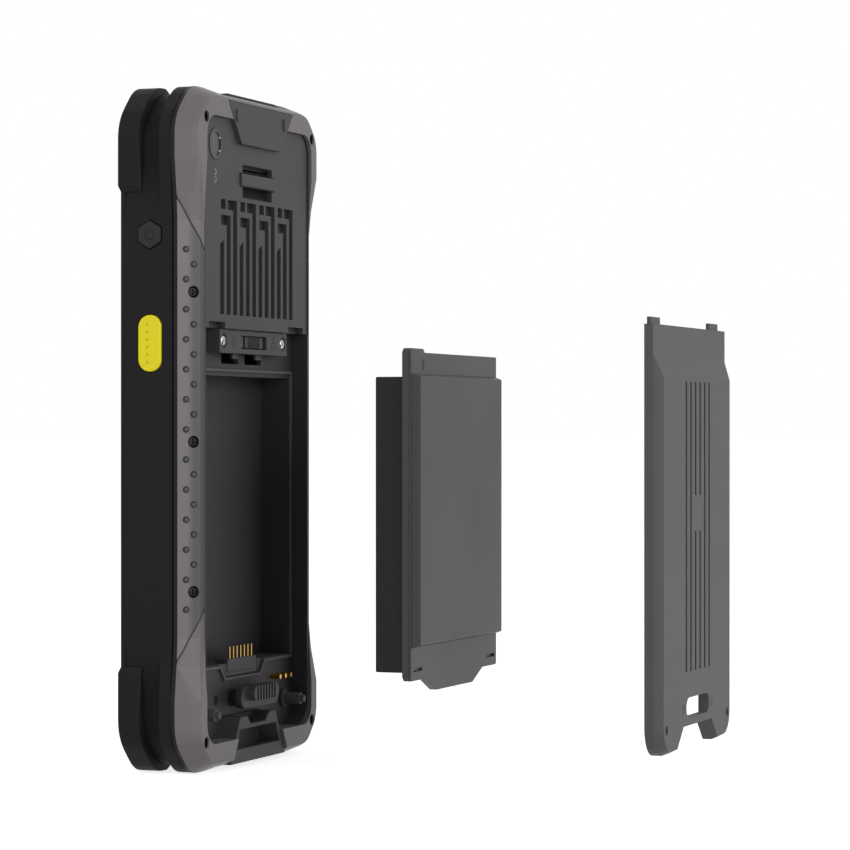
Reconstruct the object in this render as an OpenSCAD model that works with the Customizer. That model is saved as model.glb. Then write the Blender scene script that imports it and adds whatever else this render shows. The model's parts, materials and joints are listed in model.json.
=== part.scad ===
// Portable data terminal with a lift-off battery and a lift-off back cover.
// x runs across the width, y points out of the back, z is the height.
// z = 0 is the lower end that the terminal stands on.

/* [Body] */
// Height of the terminal over its corner bumpers
body_h = 166; // [163:0.5:170]
// Width over the two flat side walls
body_w = 76; // [75.6:0.1:77]
// How far each rear corner stands out past the side wall
rear_flare = 1.6; // [1.2:0.1:1.9]
// How far each front corner pad stands out past the side wall
front_flare = 0.4; // [0.3:0.05:0.8]
// How far the corners of the side band stand out past the side wall
band_flare = 1.1; // [0.8:0.1:1.3]
// Depth of the body in front of the middle plane
front_depth = 10; // [9.9:0.1:10.8]
// Height of the rear rim behind the middle plane
rim_y = 9.5; // [9.4:0.1:9.8]
// Height of the rear corners behind the middle plane
corner_y = 10.3; // [10.1:0.1:10.8]
// Position of the seam between the side band and the rear housing
seam_y = 3.5; // [3.3:0.1:3.6]
// Thickness of the dark edge strip behind the seam
edge_strip_t = 1.4; // [1.2:0.1:1.5]
// How far the rear chamfer runs in from the side wall
chamfer_in = 5.2; // [4.8:0.1:5.3]
// How far the corner chamfer runs in from the corner side
corner_chamfer_in = 3.6; // [3:0.1:3.8]
// How far the rear chamfer runs in from an end
end_chamfer_in = 2.4; // [1.8:0.1:2.8]
// Width of the slanted cut at each corner of the outline
corner_cut_x = 9; // [8:0.25:10]
// Height of the slanted cut at each corner of the outline
corner_cut_z = 8.6; // [8:0.2:9.6]
// Rounding at both ends of the slanted corner cut
corner_round = 10; // [7:0.5:11]
// Distance from each end at which the corners begin to flare
flare_start_gap = 33; // [31:1:37]
// Distance from each end at which the corners are full
flare_end_gap = 18; // [17:0.5:20]
// Depth of the groove between the corner bumpers, below the side wall
groove_depth = 1; // [0.8:0.1:1.3]
// How far the middle of the upper end lies inside the corners
end_dip = 1.6; // [1:0.1:1.8]
// How far the middle of the lower end lies inside the corners
foot_dip = 1; // [0.8:0.05:1.1]
// Half width of the dip in each end
end_dip_half = 21; // [18:0.5:22]

/* [Front] */
// Thickness of the front rim
front_rim_t = 1.1; // [1:0.1:1.3]
// Distance from the front glass to each side wall
glass_side_gap = 3.4; // [3:0.1:4]
// Distance from the front glass to each end of the body
glass_end_gap = 6; // [5.5:0.1:7]
// Thickness of the front glass
glass_t = 0.8; // [0.6:0.1:0.9]
// Thickness of the display under the glass
display_t = 1.7; // [1.4:0.1:1.8]
// Distance from the display to each side of the glass
display_side_gap = 1.2; // [0.9:0.1:2.6]
// Distance from the display to each end of the glass
display_end_gap = 13; // [11:0.5:17]
// How far the front corner pads stand out of the front rim
pad_proud = 0.8; // [0.6:0.05:0.9]
// Depth of the front corner pads
pad_depth = 5.4; // [5:0.1:5.8]
// Height of the front corner pads
pad_len = 26; // [25:0.25:27]

/* [Bay] */
// Distance from the bay opening to each side wall
bay_side_gap = 6.4; // [6.2:0.05:6.5]
// Width of the ledge on each side of the well
ledge_w = 1.4; // [1.2:0.1:1.6]
// Height of the ledge that the battery lip rests over
ledge_y = 4.8; // [4.6:0.1:4.9]
// Depth of the well floor in front of the middle plane
well_floor = 2.6; // [2.5:0.1:2.8]
// Lower edge of the bay opening
bay_low = 7.3; // [7:0.1:7.5]
// Distance from the bay opening to the top of the body
bay_top_gap = 58.4; // [58:0.1:58.5]
// Lower end of the well
well_low = 25.2; // [25:0.1:25.4]
// Distance from the well to the upper edge of the bay opening
well_top_gap = 11.4; // [11.2:0.1:11.6]
// Rounding at the lower corners of the bay
bay_corner = 6; // [5:0.25:6.5]
// Height of the sealing rib above the ledge
seal_h = 0.6; // [0.5:0.1:0.7]
// Width of the sealing rib
seal_w = 0.7; // [0.5:0.1:0.8]

/* [Rear panel] */
// Thickness of the rear panel
panel_t = 1.2; // [1:0.1:1.4]
// How far the panel lies below the rim
panel_drop = 0.3; // [0.2:0.05:0.4]
// Distance from the top of the panel to the top of the body
panel_top_gap = 7.2; // [6.8:0.1:7.6]
// Rounding at the upper corners of the panel
panel_corner = 5; // [4:0.25:6]
// Distance between the centre lines of the grille slots
slot_pitch = 3.9; // [3.7:0.05:3.95]
// Width of a grille slot
slot_w = 2.3; // [2:0.1:2.5]
// Distance from the lower end of the grille to the top of the body
grille_low_gap = 55; // [54:0.1:55.5]
// Distance from the upper end of the grille to the top of the body
grille_top_gap = 27; // [26:0.25:28]

/* [Battery] */
// Distance that the battery stands off in the exploded arrangement
battery_out = 54.1; // [50:0.5:58]
// Clearance on each side of the battery box
box_side_gap = 0.7; // [0.5:0.1:1.2]
// Depth of the battery box below the lip
cell_box_t = 7.3; // [7:0.1:7.4]
// Clearance on each side of the battery lip
lip_side_gap = 0.6; // [0.4:0.1:0.8]
// Thickness of the battery lip
lip_t = 1.5; // [1.4:0.1:1.6]
// Thickness of the slab above the lip
lip_slab_t = 0.6; // [0.5:0.1:0.6]
// Height of the raised face above the slab
raised_t = 1.9; // [1.7:0.1:1.9]
// Distance from the raised face to each side of the lip
raised_side_gap = 1.8; // [1.7:0.1:2.2]

/* [Cover] */
// Distance that the cover stands off beyond its closed position
cover_out = 111; // [108:0.5:115]
// Clearance on each side of the cover
cover_side_gap = 0.4; // [0.3:0.1:0.6]
// Height of the inner face of the closed cover
cover_in_y = 7.7; // [7.65:0.05:7.8]
// Thickness of the cover edge
cover_edge_t = 2.1; // [2:0.05:2.2]
// Height of the raised middle of the cover above its edge
hump_t = 1.9; // [1.8:0.1:2.1]
// How far the face of the raised middle lies inside each side of the cover
hump_face_in = 2.3; // [2.1:0.1:2.7]
// How far the foot of the raised middle lies inside each side of the cover
hump_foot_in = 0.6; // [0.4:0.1:0.7]
// Distance between the centre lines of the cover slots
rib_pitch = 4; // [3.8:0.1:4.1]
// Width of a cover slot
rib_w = 1.2; // [1:0.1:1.4]
// Depth of a cover slot
rib_depth = 0.8; // [0.6:0.1:1]

/* [Controls] */
// Distance from the centre of the power key to the top of the body
power_key_gap = 36.4; // [35:0.2:38]
// Depth position of the side keys
key_y = -2.3; // [-2.4:0.1:-2.2]
// Distance from the centre of the power key to a corner
power_r = 3.4; // [3:0.1:3.5]
// Distance from the centre of each scan key to the top of the body
scan_key_gap = 62.4; // [61:0.2:64]
// Length of a scan key
scan_len = 13.6; // [12.6:0.2:14.2]
// Width of a scan key
scan_w = 6; // [5.4:0.1:6.2]
// How far the side keys stand out of the wall
key_proud = 0.5; // [0.4:0.05:0.6]
// Distance from the centre of the volume key to the top of the body
volume_key_gap = 40; // [38:0.2:41]
// Length of the volume key
volume_len = 18; // [16:0.5:19]
// Width of the volume key
volume_w = 4.2; // [4:0.1:4.4]
// Stroke of the battery latch
battery_latch_stroke = 1.9; // [1.7:0.05:1.9]
// Stroke of the cover latch
cover_latch_stroke = 3.8; // [3.6:0.1:3.8]

/* [Hidden] */
$fn = 48;
// Shared fits: a slip fit, a clear gap and the overrun of every cut.
slip = 0.15;
gap = 0.3;
over = 2;
// Overlap of shapes that join.
skin = 0.01;
arc_steps = 6;

side_half = body_w / 2;
half_h = body_h / 2;
flare_start = half_h - flare_start_gap;
flare_end = half_h - flare_end_gap;
pad_start = half_h - pad_len;
bay_half = side_half - bay_side_gap;
well_half = bay_half - ledge_w;
bay_high = body_h - bay_top_gap;
well_high = bay_high - well_top_gap;
grille_low = body_h - grille_low_gap;
cell_box_w = 2 * (well_half - box_side_gap);
lip_w = 2 * (bay_half - lip_side_gap);
raised_w = lip_w - 2 * raised_side_gap;
cover_w = 2 * (bay_half - cover_side_gap);
hump_w = cover_w - 2 * hump_face_in;
hump_foot_w = cover_w - 2 * hump_foot_in;
power_z = body_h - power_key_gap;
scan_z = body_h - scan_key_gap;
volume_z = body_h - volume_key_gap;
chamfer_y = seam_y + edge_strip_t;
seam_line = 0.45;
seam_cut = 0.5;
joint_line = 0.9;

// Shares of the rear chamfer, from its outer edge to its rim.
roll_in = [0, 0.6, 0.83, 1];
roll_up = [0, 0.67, 0.89, 1];

// The widening of the corners bends at a share of its length, and is then part of the full flare.
widen_at_share = 0.43;
widen_share = 0.28;
flare_bend = flare_start + (flare_end - flare_start) * widen_at_share;

// Inner edge of the side strips, and the slanted joint lines at their ends.
bay_rim = 1;
strip_in = bay_half + bay_rim;
strip_reach = 4;
strip_out = side_half + strip_reach;
joint_end_gap = 39.5;
joint_in = half_h - joint_end_gap;
joint_slope = 2.16;

// Front parts.
glass_half = side_half - glass_side_gap;
display_w = 2 * (glass_half - display_side_gap);
display_h = body_h - 2 * (glass_end_gap + display_end_gap);
glass_front = -front_depth + gap;
glass_back = glass_front + glass_t;
display_back = glass_back + display_t;
plate_t = 1;
plate_back = display_back + plate_t;
band_front = glass_back;
side_wall_t = 3.5;
cavity_half = side_half - side_wall_t;
cavity_end = 5;
cavity_cut_x = 8;
cavity_cut_z = 6.6;
glass_round = 8;
rim_fill = 2.5;
rear_bump_t = 3;
groove_end = 1.5;
foot_face_half = end_dip_half - gap;

// Fixing screws of the housing.
boss_side = 5.1;
boss_x = side_half - boss_side;
boss_in = 8;
boss_d = 5.4;
screw_hole = 2.9;
screw_head = 2.6;
screw_shank = 1.8;
screw_seat = 5.2;
screw_head_t = 1.2;

// Battery, in its closed position.
lip_y = ledge_y + seal_h;
slab_y = lip_y + lip_t;
slab_top = slab_y + lip_slab_t;
raised_y = slab_top + raised_t;
box_front = lip_y - cell_box_t;
box_gap_low = 0.5;
box_gap_high = 0.8;
box_low = well_low + box_gap_low;
box_high = well_high - box_gap_high;
lip_low = 23.8;
lip_gap_high = 6.4;
lip_high = bay_high - lip_gap_high;
lip_tab_h = 0.9;
lip_tab_high = lip_high + lip_tab_h;
tongue_low = 20.6;
tongue_half = 12.5;
tongue_root = 20;
raised_low = 32.3;
raised_gap_high = 12.1;
raised_high = bay_high - raised_gap_high;
raised_foot = 0.7;
case_wall = 1.1;

// Latch block above the bay.
latch_drop = 5.9;
latch_low = bay_high - latch_drop;
latch_back_gap = 0.1;
latch_high = bay_high - latch_back_gap;
latch_half = 20.8;
latch_top = 8.3;
latch_screw_x = 18.3;
latch_screw_drop = 2.9;
latch_screw_z = bay_high - latch_screw_drop;
window_half = 7.9;
window_drop_low = 4.7;
window_drop_high = 1.4;
window_low = bay_high - window_drop_low;
window_high = bay_high - window_drop_high;
thumb_half = 6.8;
tab_half = 1.7;
tab_x = 7.05;
tab_front = 6.05;
tab_back = 6.75;
tab_reach = 0.8;
tab_low = lip_high - tab_reach;
latch_shift = battery_latch_stroke / 2;

// Cover, in its closed position.
cover_edge_y = cover_in_y + cover_edge_t;
cover_face_y = cover_edge_y + hump_t;
cover_gap_low = 0.6;
cover_low = bay_low + cover_gap_low;
cover_gap_high = 0.5;
cover_high = bay_high - cover_gap_high;
cover_corner = 7;
cover_window_half = 9.85;
cover_window_low = 15.4;
cover_window_high = 20.1;

// Cover latch.
slider_top = 9.2;
slider_t = 1.9;
slider_half = 11.7;
slider_low = 14.1;
slider_high = 19.4;
knob_top = 10.9;
knob_half = 7.6;
knob_low = 15.8;
knob_high = 19.5;
knob_shift = cover_latch_stroke / 2;
pedestal_half = 7;
pedestal_top = slider_top - slider_t - slip;

// Posts that stand in the cover holes.
post_side = 5.1;
post_x = bay_half - post_side;
post_z = 14;
post_d = 3;
post_top = 9.9;
post_tip_d = 1.9;
post_tip = 10.9;
post_root_d = 2;
post_flange_d = 4.6;
post_flange_t = 0.8;

// Shared shapes.

function unit(v) = v / norm(v);

// Points of a rounding with the given radius at the middle one of three points.
function arc_at(before, at, after, radius) =
    radius == 0 ? [at] :
    let (
        u = unit(before - at),
        w = unit(after - at),
        half_angle = acos(u * w) / 2,
        centre = at + unit(u + w) * radius / sin(half_angle),
        first = at + u * radius / tan(half_angle) - centre,
        last = at + w * radius / tan(half_angle) - centre,
        start = atan2(first.y, first.x),
        turn = (atan2(last.y, last.x) - start + 540) % 360 - 180
    )
    [for (k = [0 : arc_steps])
        centre + radius * [cos(start + turn * k / arc_steps), sin(start + turn * k / arc_steps)]];

// An outline whose points are given as [x, z, radius].
function rounded(corners) =
    let (n = len(corners))
    [for (k = [0 : n - 1])
        each arc_at(
            [corners[(k + n - 1) % n].x, corners[(k + n - 1) % n].y],
            [corners[k].x, corners[k].y],
            [corners[(k + 1) % n].x, corners[(k + 1) % n].y],
            corners[k][2])];

// A shape drawn in x and z, given depth from y0 to y1.
module slab(y0, y1) {
    translate([0, y1, 0])
        rotate([90, 0, 0])
            linear_extrude(height = y1 - y0)
                children();
}

// A straight block between two corners.
module block(x, y, z) {
    translate([x[0], y[0], z[0]])
        cube([x[1] - x[0], y[1] - y[0], z[1] - z[0]]);
}

// A block that is centred across the width.
module wide_block(half, y, z) {
    block([-half, half], y, z);
}

// A round bar along y.
module rod(d, y0, y1) {
    translate([0, y1, 0])
        rotate([90, 0, 0])
            cylinder(d = d, h = y1 - y0);
}

// A round bar along x.
module cross_rod(d, x0, x1) {
    translate([x0, 0, 0])
        rotate([0, 90, 0])
            cylinder(d = d, h = x1 - x0);
}

module both_sides() {
    children();
    mirror([1, 0, 0])
        children();
}

// The upper end turned over to be the lower end.
module upside_down() {
    translate([0, 0, body_h])
        mirror([0, 0, 1])
            children();
}

module both_ends() {
    children();
    upside_down()
        children();
}

// A stadium drawn in x and y, long in y.
module stadium(width, length) {
    for (side = [-1, 1])
        translate([0, side * (length - width) / 2])
            circle(d = width);
    square([width, length - width], center = true);
}

function blend(low, high, share) = low + (high - low) * share;

// Upper half of the body outline, centred on the middle height.
// The corners are cut less, and rounded less, by fill.
function half_outline(mid, end, top, fill) =
    let (
        cut_x = corner_cut_x - fill,
        cut_z = corner_cut_z - fill,
        radius = corner_round * cut_x / corner_cut_x,
        bend = blend(mid, end, widen_share)
    )
    [
        [mid, flare_start, 0],
        [bend, flare_bend, 0],
        [end, flare_end, 0],
        [end, top - cut_z, radius],
        [end - cut_x, top, radius],
        [cut_x - end, top, radius],
        [-end, top - cut_z, radius],
        [-end, flare_end, 0],
        [-bend, flare_bend, 0],
        [-mid, flare_start, 0]
    ];

// The whole body outline, standing on z = 0.
module outline(mid, end, top, fill = 0) {
    points = half_outline(mid, end, top, fill);
    turned = [for (p = points) [-p.x, -p.y, p[2]]];
    translate([0, half_h])
        polygon(rounded(concat(points, turned)));
}

// The part of the outline above a height, with straight sides.
module end_outline(end, low, top, fill = 0) {
    points = half_outline(end, end, top, fill);
    translate([0, half_h])
        polygon(rounded(concat(
            [[end, low, 0]],
            [for (k = [3 : 6]) points[k]],
            [[-end, low, 0]])));
}

// Cross section of the rear chamfer, drawn in x and y.
// The share is 0 in the middle of the body and 1 at the corners.
module rear_section(share) {
    half = blend(side_half, side_half + rear_flare, share);
    top = blend(rim_y, corner_y, share);
    inset = blend(chamfer_in, corner_chamfer_in, share);
    right = [for (k = [0 : len(roll_in) - 1])
        [half - inset * roll_in[k], blend(chamfer_y, top, roll_up[k])]];
    left = [for (k = [len(roll_in) - 1 : -1 : 0]) [-right[k].x, right[k].y]];
    polygon(concat(right, left));
}

// The straight middle length of the chamfered rear.
module rear_middle() {
    translate([0, 0, half_h - flare_start])
        linear_extrude(height = 2 * flare_start)
            rear_section(0);
}

// The widening length between the middle and the upper corners, in two steps.
module rear_widening() {
    heights = [flare_start, flare_bend, flare_end];
    shares = [0, widen_share, 1];
    for (k = [0 : 1])
        hull()
            for (m = [k, k + 1])
                translate([0, 0, half_h + heights[m] - skin])
                    linear_extrude(height = skin)
                        rear_section(shares[m]);
}

// The chamfered upper corners.
module rear_top() {
    hull() {
        for (k = [0 : len(roll_in) - 1]) {
            level = blend(chamfer_y, corner_y, roll_up[k]);
            slab(level - (k > 0 ? skin : 0), level + (k > 0 ? 0 : skin))
                end_outline(
                    side_half + rear_flare - corner_chamfer_in * roll_in[k],
                    flare_end - skin,
                    half_h - end_chamfer_in * roll_in[k],
                    rim_fill * roll_in[k]);
        }
    }
}

// The shallow dip in the middle of the upper end.
dip_run = 4.8;

module dip_cut(dip) {
    slab(-front_depth - pad_proud - over, cap_y + over)
        polygon([
            [-end_dip_half - dip_run, body_h + over],
            [-end_dip_half, body_h - dip],
            [end_dip_half, body_h - dip],
            [end_dip_half + dip_run, body_h + over]
        ]);
}

module end_dips() {
    dip_cut(end_dip);
    upside_down()
        dip_cut(foot_dip);
}

// The region of the two side strips, drawn in x and z.
module strip_region(shrink) {
    reach = joint_slope * (strip_out - side_half + chamfer_in);
    drop = joint_slope * (side_half - chamfer_in - strip_in);
    high = joint_in - shrink;
    for (side = [-1, 1])
        translate([0, half_h])
            polygon([
                [side * strip_in, high - drop],
                [side * strip_out, high + reach],
                [side * strip_out, -high - reach],
                [side * strip_in, drop - high]
            ]);
}

// The panel and bay field inside the rear rim.
module inner_field(grow) {
    field_half = strip_in + grow;
    field_high = body_h - panel_top_gap + grow;
    polygon(rounded([
        [field_half, bay_low - grow, bay_corner + grow],
        [field_half, field_high, panel_corner + grow],
        [-field_half, field_high, panel_corner + grow],
        [-field_half, bay_low - grow, bay_corner + grow]
    ]));
}

// Outline of the trapezoid cap over the scanner.
cap_gap_low = 12.9;
cap_gap_high = 3;
cap_low = body_h - cap_gap_low;
cap_high = body_h - cap_gap_high;
cap_low_half = 12.2;
cap_high_half = 20;
cap_round = 1.6;
cap_y = 10.4;

module cap_shape(grow) {
    polygon(rounded([
        [-cap_low_half - grow, cap_low - grow, cap_round],
        [cap_low_half + grow, cap_low - grow, cap_round],
        [cap_high_half + grow, cap_high + grow, 0],
        [-cap_high_half - grow, cap_high + grow, 0]
    ]));
}

// Outline of the strap anchor at the lower end.
anchor_top = 12.3;
anchor_top_half = 11;
anchor_low_half = 17;
anchor_low = foot_dip;
anchor_slot_low = 4.4;
anchor_slot_high = 9.2;
anchor_slot_low_half = 13.5;
anchor_slot_high_half = 11.3;
anchor_back = 2.4;
anchor_floor = 3.6;
anchor_bar_t = 1.6;
anchor_notch_low = 10.2;
anchor_notch_low_half = 4.4;
anchor_notch_high_half = 6.8;

module anchor_shape(grow) {
    polygon([
        [-anchor_low_half - grow, anchor_low],
        [anchor_low_half + grow, anchor_low],
        [anchor_top_half + grow, anchor_top + grow],
        [-anchor_top_half - grow, anchor_top + grow]
    ]);
}

// Bores for the fixing screws at the four corners.
module corner_bores(d, y0, y1) {
    both_sides()
        both_ends()
            translate([boss_x, 0, boss_in])
                rod(d, y0, y1);
}

// Pocket for the frame of the scanner window in the upper end.
scan_half = 15;
scan_front = -3.4;
scan_back = 7.8;
scan_gap_low = 4.6;
scan_gap_top = 0.7;
scan_low = body_h - scan_gap_low;
scan_top = body_h - scan_gap_top;
scan_glass_half = 12.4;
scan_rim = 1.8;

module scan_pocket(grow) {
    wide_block(scan_half + grow, [scan_front - grow, scan_back + grow], [scan_low - grow, body_h + over]);
}

// Opening under the frame, through which the scanner looks out.
module scan_opening() {
    wide_block(scan_glass_half, [scan_front + scan_rim, scan_back - scan_rim], [scan_low - over, scan_low + over]);
}

// Front and side band.

module front_housing() {
    color("#232324")
    difference() {
        union() {
            slab(-front_depth, -front_depth + front_rim_t)
                outline(side_half, side_half, half_h - foot_dip);
            both_ends()
                corner_pads();
        }
        slab(-front_depth - pad_proud - over, band_front + skin)
            glass_outline(slip);
        end_dips();
        slab(band_front, -front_depth + pad_depth + over)
            band_outline();
    }
}

// Front bumper pads at the two upper corners. They rise out of the wall along a short ramp.
pad_ramp = 1.5;
pad_edge = 0.4;

module corner_pads() {
    pad_front = -front_depth - pad_proud;
    pad_back = -front_depth + pad_depth;
    pad_half = side_half + front_flare;
    pad_full = pad_start + pad_ramp;
    intersection() {
        hull() {
            wide_block(side_half, [-front_depth, pad_back], [half_h + pad_start, half_h + pad_start + skin]);
            slab(pad_front, pad_front + skin)
                end_outline(pad_half - pad_edge, pad_full, half_h - pad_edge);
            slab(pad_front + pad_edge, pad_back - pad_edge)
                end_outline(pad_half, pad_full, half_h);
            slab(pad_back - skin, pad_back)
                end_outline(side_half - groove_depth, pad_full, half_h - groove_end);
        }
        both_sides()
            block([end_dip_half, 2 * side_half], [pad_front - over, pad_back + over], [half_h + pad_start, body_h + over]);
    }
}

module touch_glass() {
    color("#0b0c0e")
    difference() {
        slab(glass_front, glass_back)
            glass_outline(0);
        earpiece_slot(glass_front - over, glass_back + over);
    }
}

module glass_outline(grow) {
    half = glass_half + grow;
    low = glass_end_gap - grow;
    radius = glass_round + grow;
    polygon(rounded([
        [half, low, radius],
        [half, body_h - low, radius],
        [-half, body_h - low, radius],
        [-half, low, radius]
    ]));
}

ear_len = 12;
ear_w = 1.4;
ear_end_gap = 11.5;

module earpiece_slot(y0, y1) {
    translate([0, 0, body_h - ear_end_gap])
        slab(y0, y1)
            rotate(90)
                stadium(ear_w, ear_len);
}

module earpiece_mesh() {
    color("#55565a")
    earpiece_slot(glass_front + gap, glass_back);
}

module display_module() {
    color("#1c2430")
    slab(glass_back, display_back)
        translate([0, half_h])
            square([display_w, display_h], center = true);
}

// Outline of the side band, whose corners are the floor of the grooves.
module band_outline() {
    outline(side_half, side_half - groove_depth, half_h - groove_end);
}

// Outline of the hollow inside the side band.
module cavity_outline(shrink = 0) {
    half = cavity_half - shrink;
    high = half_h - cavity_end - shrink;
    step = half_h - cavity_end - cavity_cut_z - shrink / 2;
    inner = cavity_half - cavity_cut_x - shrink / 2;
    translate([0, half_h])
        polygon([
            [half, -step],
            [half, step],
            [inner, high],
            [-inner, high],
            [-half, step],
            [-half, -step],
            [-inner, -high],
            [inner, -high]
        ]);
}

module mid_frame() {
    color("#1e1e1f")
    difference() {
        union() {
            slab(band_front, seam_y)
                band_outline();
            both_ends()
                rear_bumper();
            wide_block(foot_face_half, [band_front, seam_y], [foot_dip, cavity_end]);
        }
        end_dips();
        slab(band_front - over, display_back)
            translate([0, half_h])
                square([display_w + 2 * slip, display_h + 2 * slip], center = true);
        difference() {
            slab(plate_back, seam_y + over)
                cavity_outline();
            corner_bores(boss_d, plate_back - over, seam_y + over);
            board_posts();
        }
        corner_bores(screw_shank, plate_back, seam_y + over);
        key_holes();
        port_hole(slip);
        scan_pocket(0);
        scan_opening();
        slab(anchor_back - slip, seam_y + over)
            anchor_shape(slip);
    }
}

// The rear bumper ring over the upper corners.
module rear_bumper() {
    far_half = side_half + 2 * band_flare;
    difference() {
        slab(seam_y - rear_bump_t, seam_y)
            end_outline(side_half + band_flare, flare_start, half_h);
        slab(seam_y - rear_bump_t - over, seam_y + over)
            cavity_outline();
        both_sides()
            slab(seam_y - rear_bump_t - over, seam_y + over)
                translate([0, half_h])
                    polygon([
                        [side_half, flare_start - over],
                        [far_half, flare_start - over],
                        [far_half, flare_end],
                        [side_half + band_flare, flare_end],
                        [side_half + band_flare * widen_share, flare_bend],
                        [side_half, flare_start]
                    ]);
    }
}

// Main board on its posts.
board_lift = 0.6;
board_y = plate_back + board_lift;
board_t = 1;
board_side_gap = 3.5;
board_half = cavity_half - board_side_gap;
board_end_gap = 3;
board_post_d = 4;
board_post_in = 4;
board_post_x = board_half - board_post_in;
board_post_shares = [0.18, 0.55, 0.84];

module board_posts() {
    both_sides()
        for (share = board_post_shares)
            translate([board_post_x, 0, body_h * share])
                rod(board_post_d, plate_back - over, board_y);
}

module main_board() {
    color("#1f5a3a")
    difference() {
        intersection() {
            slab(board_y, board_y + board_t)
                cavity_outline(gap);
            wide_block(board_half, [board_y - over, board_y + over], [0, scan_low - board_end_gap]);
        }
        corner_bores(boss_d + 2 * gap, board_y - over, board_y + over);
    }
}

// Side keys: outline of each key, drawn in y and z on the side wall.

module power_shape(grow) {
    rotate(90)
        circle(r = power_r + grow, $fn = 6);
}

module scan_shape(grow) {
    stadium(scan_w + 2 * grow, scan_len + 2 * grow);
}

module volume_shape(grow) {
    stadium(volume_w + 2 * grow, volume_len + 2 * grow);
}

// A key shape on the right side wall, from x0 to x1 at height z.
module side_key(x0, x1, z) {
    translate([x0, key_y, z])
        rotate([90, 0, 90])
            linear_extrude(height = x1 - x0)
                children();
}

key_gap = 0.25;
key_face = side_half + key_proud;
flange_gap = 0.2;
flange_out = cavity_half - flange_gap;
flange_t = 0.7;
flange_grow = 0.7;
key_travel = 0.4;
key_board_in = 2.6;
key_board_x = cavity_half - key_board_in;
key_board_t = 0.8;
key_board_reach = 2.2;
key_board_under = 11.6;
key_board_above = 7.4;
key_board_low = scan_z - key_board_under;
key_board_high = power_z + key_board_above;
dome_d = 3;
dome_t = flange_out - flange_t - key_travel - key_board_x - key_board_t - slip / 2;
dome_share = 1 / 3;

module key_holes() {
    wall_in = cavity_half - over;
    wall_out = side_half + over;
    side_key(wall_in, wall_out, power_z)
        power_shape(key_gap);
    side_key(wall_in, wall_out, scan_z)
        scan_shape(key_gap);
    mirror([1, 0, 0]) {
        side_key(wall_in, wall_out, scan_z)
            scan_shape(key_gap);
        side_key(wall_in, wall_out, volume_z)
            volume_shape(key_gap);
    }
}

module power_key() {
    color("#2c2c2e")
    union() {
        side_key(flange_out - flange_t, key_face, power_z)
            power_shape(0);
        side_key(flange_out - flange_t, flange_out, power_z)
            power_shape(flange_grow);
    }
}

module scan_key() {
    side_key(flange_out - flange_t, key_face, scan_z)
        scan_shape(0);
    side_key(flange_out - flange_t, flange_out, scan_z)
        scan_shape(flange_grow);
}

module scan_key_right() {
    color("#f4e51c")
    scan_key();
}

module scan_key_left() {
    color("#f4e51c")
    mirror([1, 0, 0])
        scan_key();
}

module volume_key() {
    color("#2c2c2e")
    mirror([1, 0, 0]) {
        side_key(flange_out - flange_t, key_face, volume_z)
            volume_shape(0);
        side_key(flange_out - flange_t, flange_out, volume_z)
            volume_shape(flange_grow);
    }
}

// A narrow circuit board with spring domes behind the side keys.
module key_board(dome_heights) {
    face = key_board_x + key_board_t;
    block([key_board_x, face], [plate_back, key_y + key_board_reach], [key_board_low, key_board_high]);
    for (z = dome_heights)
        translate([0, key_y, z])
            cross_rod(dome_d, face, face + dome_t);
}

module key_board_right() {
    color("#1f5a3a")
    key_board([power_z, scan_z]);
}

module key_board_left() {
    color("#1f5a3a")
    mirror([1, 0, 0])
        key_board([volume_z - volume_len * dome_share, volume_z + volume_len * dome_share, scan_z]);
}

// Charging and data port in the lower end.
port_len = 9.2;
port_w = 3.2;
port_y = board_y + board_t + port_w / 2 + slip;
port_deep = 7;
port_back_t = 1;
port_wall = 0.4;

module port_shape(grow) {
    translate([0, port_y])
        rotate(90)
            stadium(port_w + 2 * grow, port_len + 2 * grow);
}

module port_hole(grow) {
    translate([0, 0, -over])
        linear_extrude(height = cavity_end + 2 * over)
            port_shape(grow);
}

module data_port() {
    color("#a8a9ad")
    difference() {
        translate([0, 0, foot_dip])
            linear_extrude(height = port_deep)
                port_shape(slip);
        translate([0, 0, foot_dip - over])
            linear_extrude(height = port_deep + over - port_back_t)
                port_shape(-port_wall);
    }
}

// Rear housing.

tab_hole_x = 7.1;
tab_hole_half = 5.1;
tab_hole_drop = 8.4;
tab_hole_low = bay_high - tab_hole_drop;
vent_x = 15.5;
vent_z = 16.5;
vent_d = 2.5;

module rear_housing() {
    color("#333235")
    difference() {
        union() {
            slab(seam_y + seam_line, chamfer_y)
                outline(side_half, side_half + rear_flare, half_h);
            slab(seam_y, seam_y + seam_line + skin)
                outline(side_half - seam_cut, side_half + rear_flare - seam_cut, half_h - seam_cut);
            slab(chamfer_y - skin, rim_y)
                inner_field(0);
            well_box(well_half, well_low, well_high);
            well_box(block_half, block_low, well_low);
            pedestal();
        }
        // Open well and bay.
        difference() {
            slab(ledge_y, corner_y + over)
                bay_opening();
            pedestal();
        }
        wide_block(well_half, [-well_floor, ledge_y + over], [well_low, well_high]);
        wide_block(block_half + slip, [block_floor, ledge_y + over], [block_low - slip, well_low + over]);
        // Field under the rear panel.
        slab(panel_front, corner_y + over)
            panel_outline(slip);
        panel_cavity();
        scan_opening();
        pin_holes();
        // Holes beside the battery latch.
        both_sides()
            translate([tab_hole_x, 0, 0])
                wide_block(tab_hole_half, [seam_y - over, ledge_y + over], [tab_hole_low, latch_low + skin]);
        leaf_pocket();
        // Vent hole and slot for the stem of the cover latch.
        translate([vent_x, 0, vent_z])
            rod(vent_d, seam_y + seam_line, ledge_y + over);
        stem_slot();
        corner_bores(screw_shank + gap, seam_y - over, chamfer_y + over);
        post_holes();
        strap_pocket(slip);
        scan_pocket(0);
        anchor_room(slip);
        end_dips();
    }
}

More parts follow.
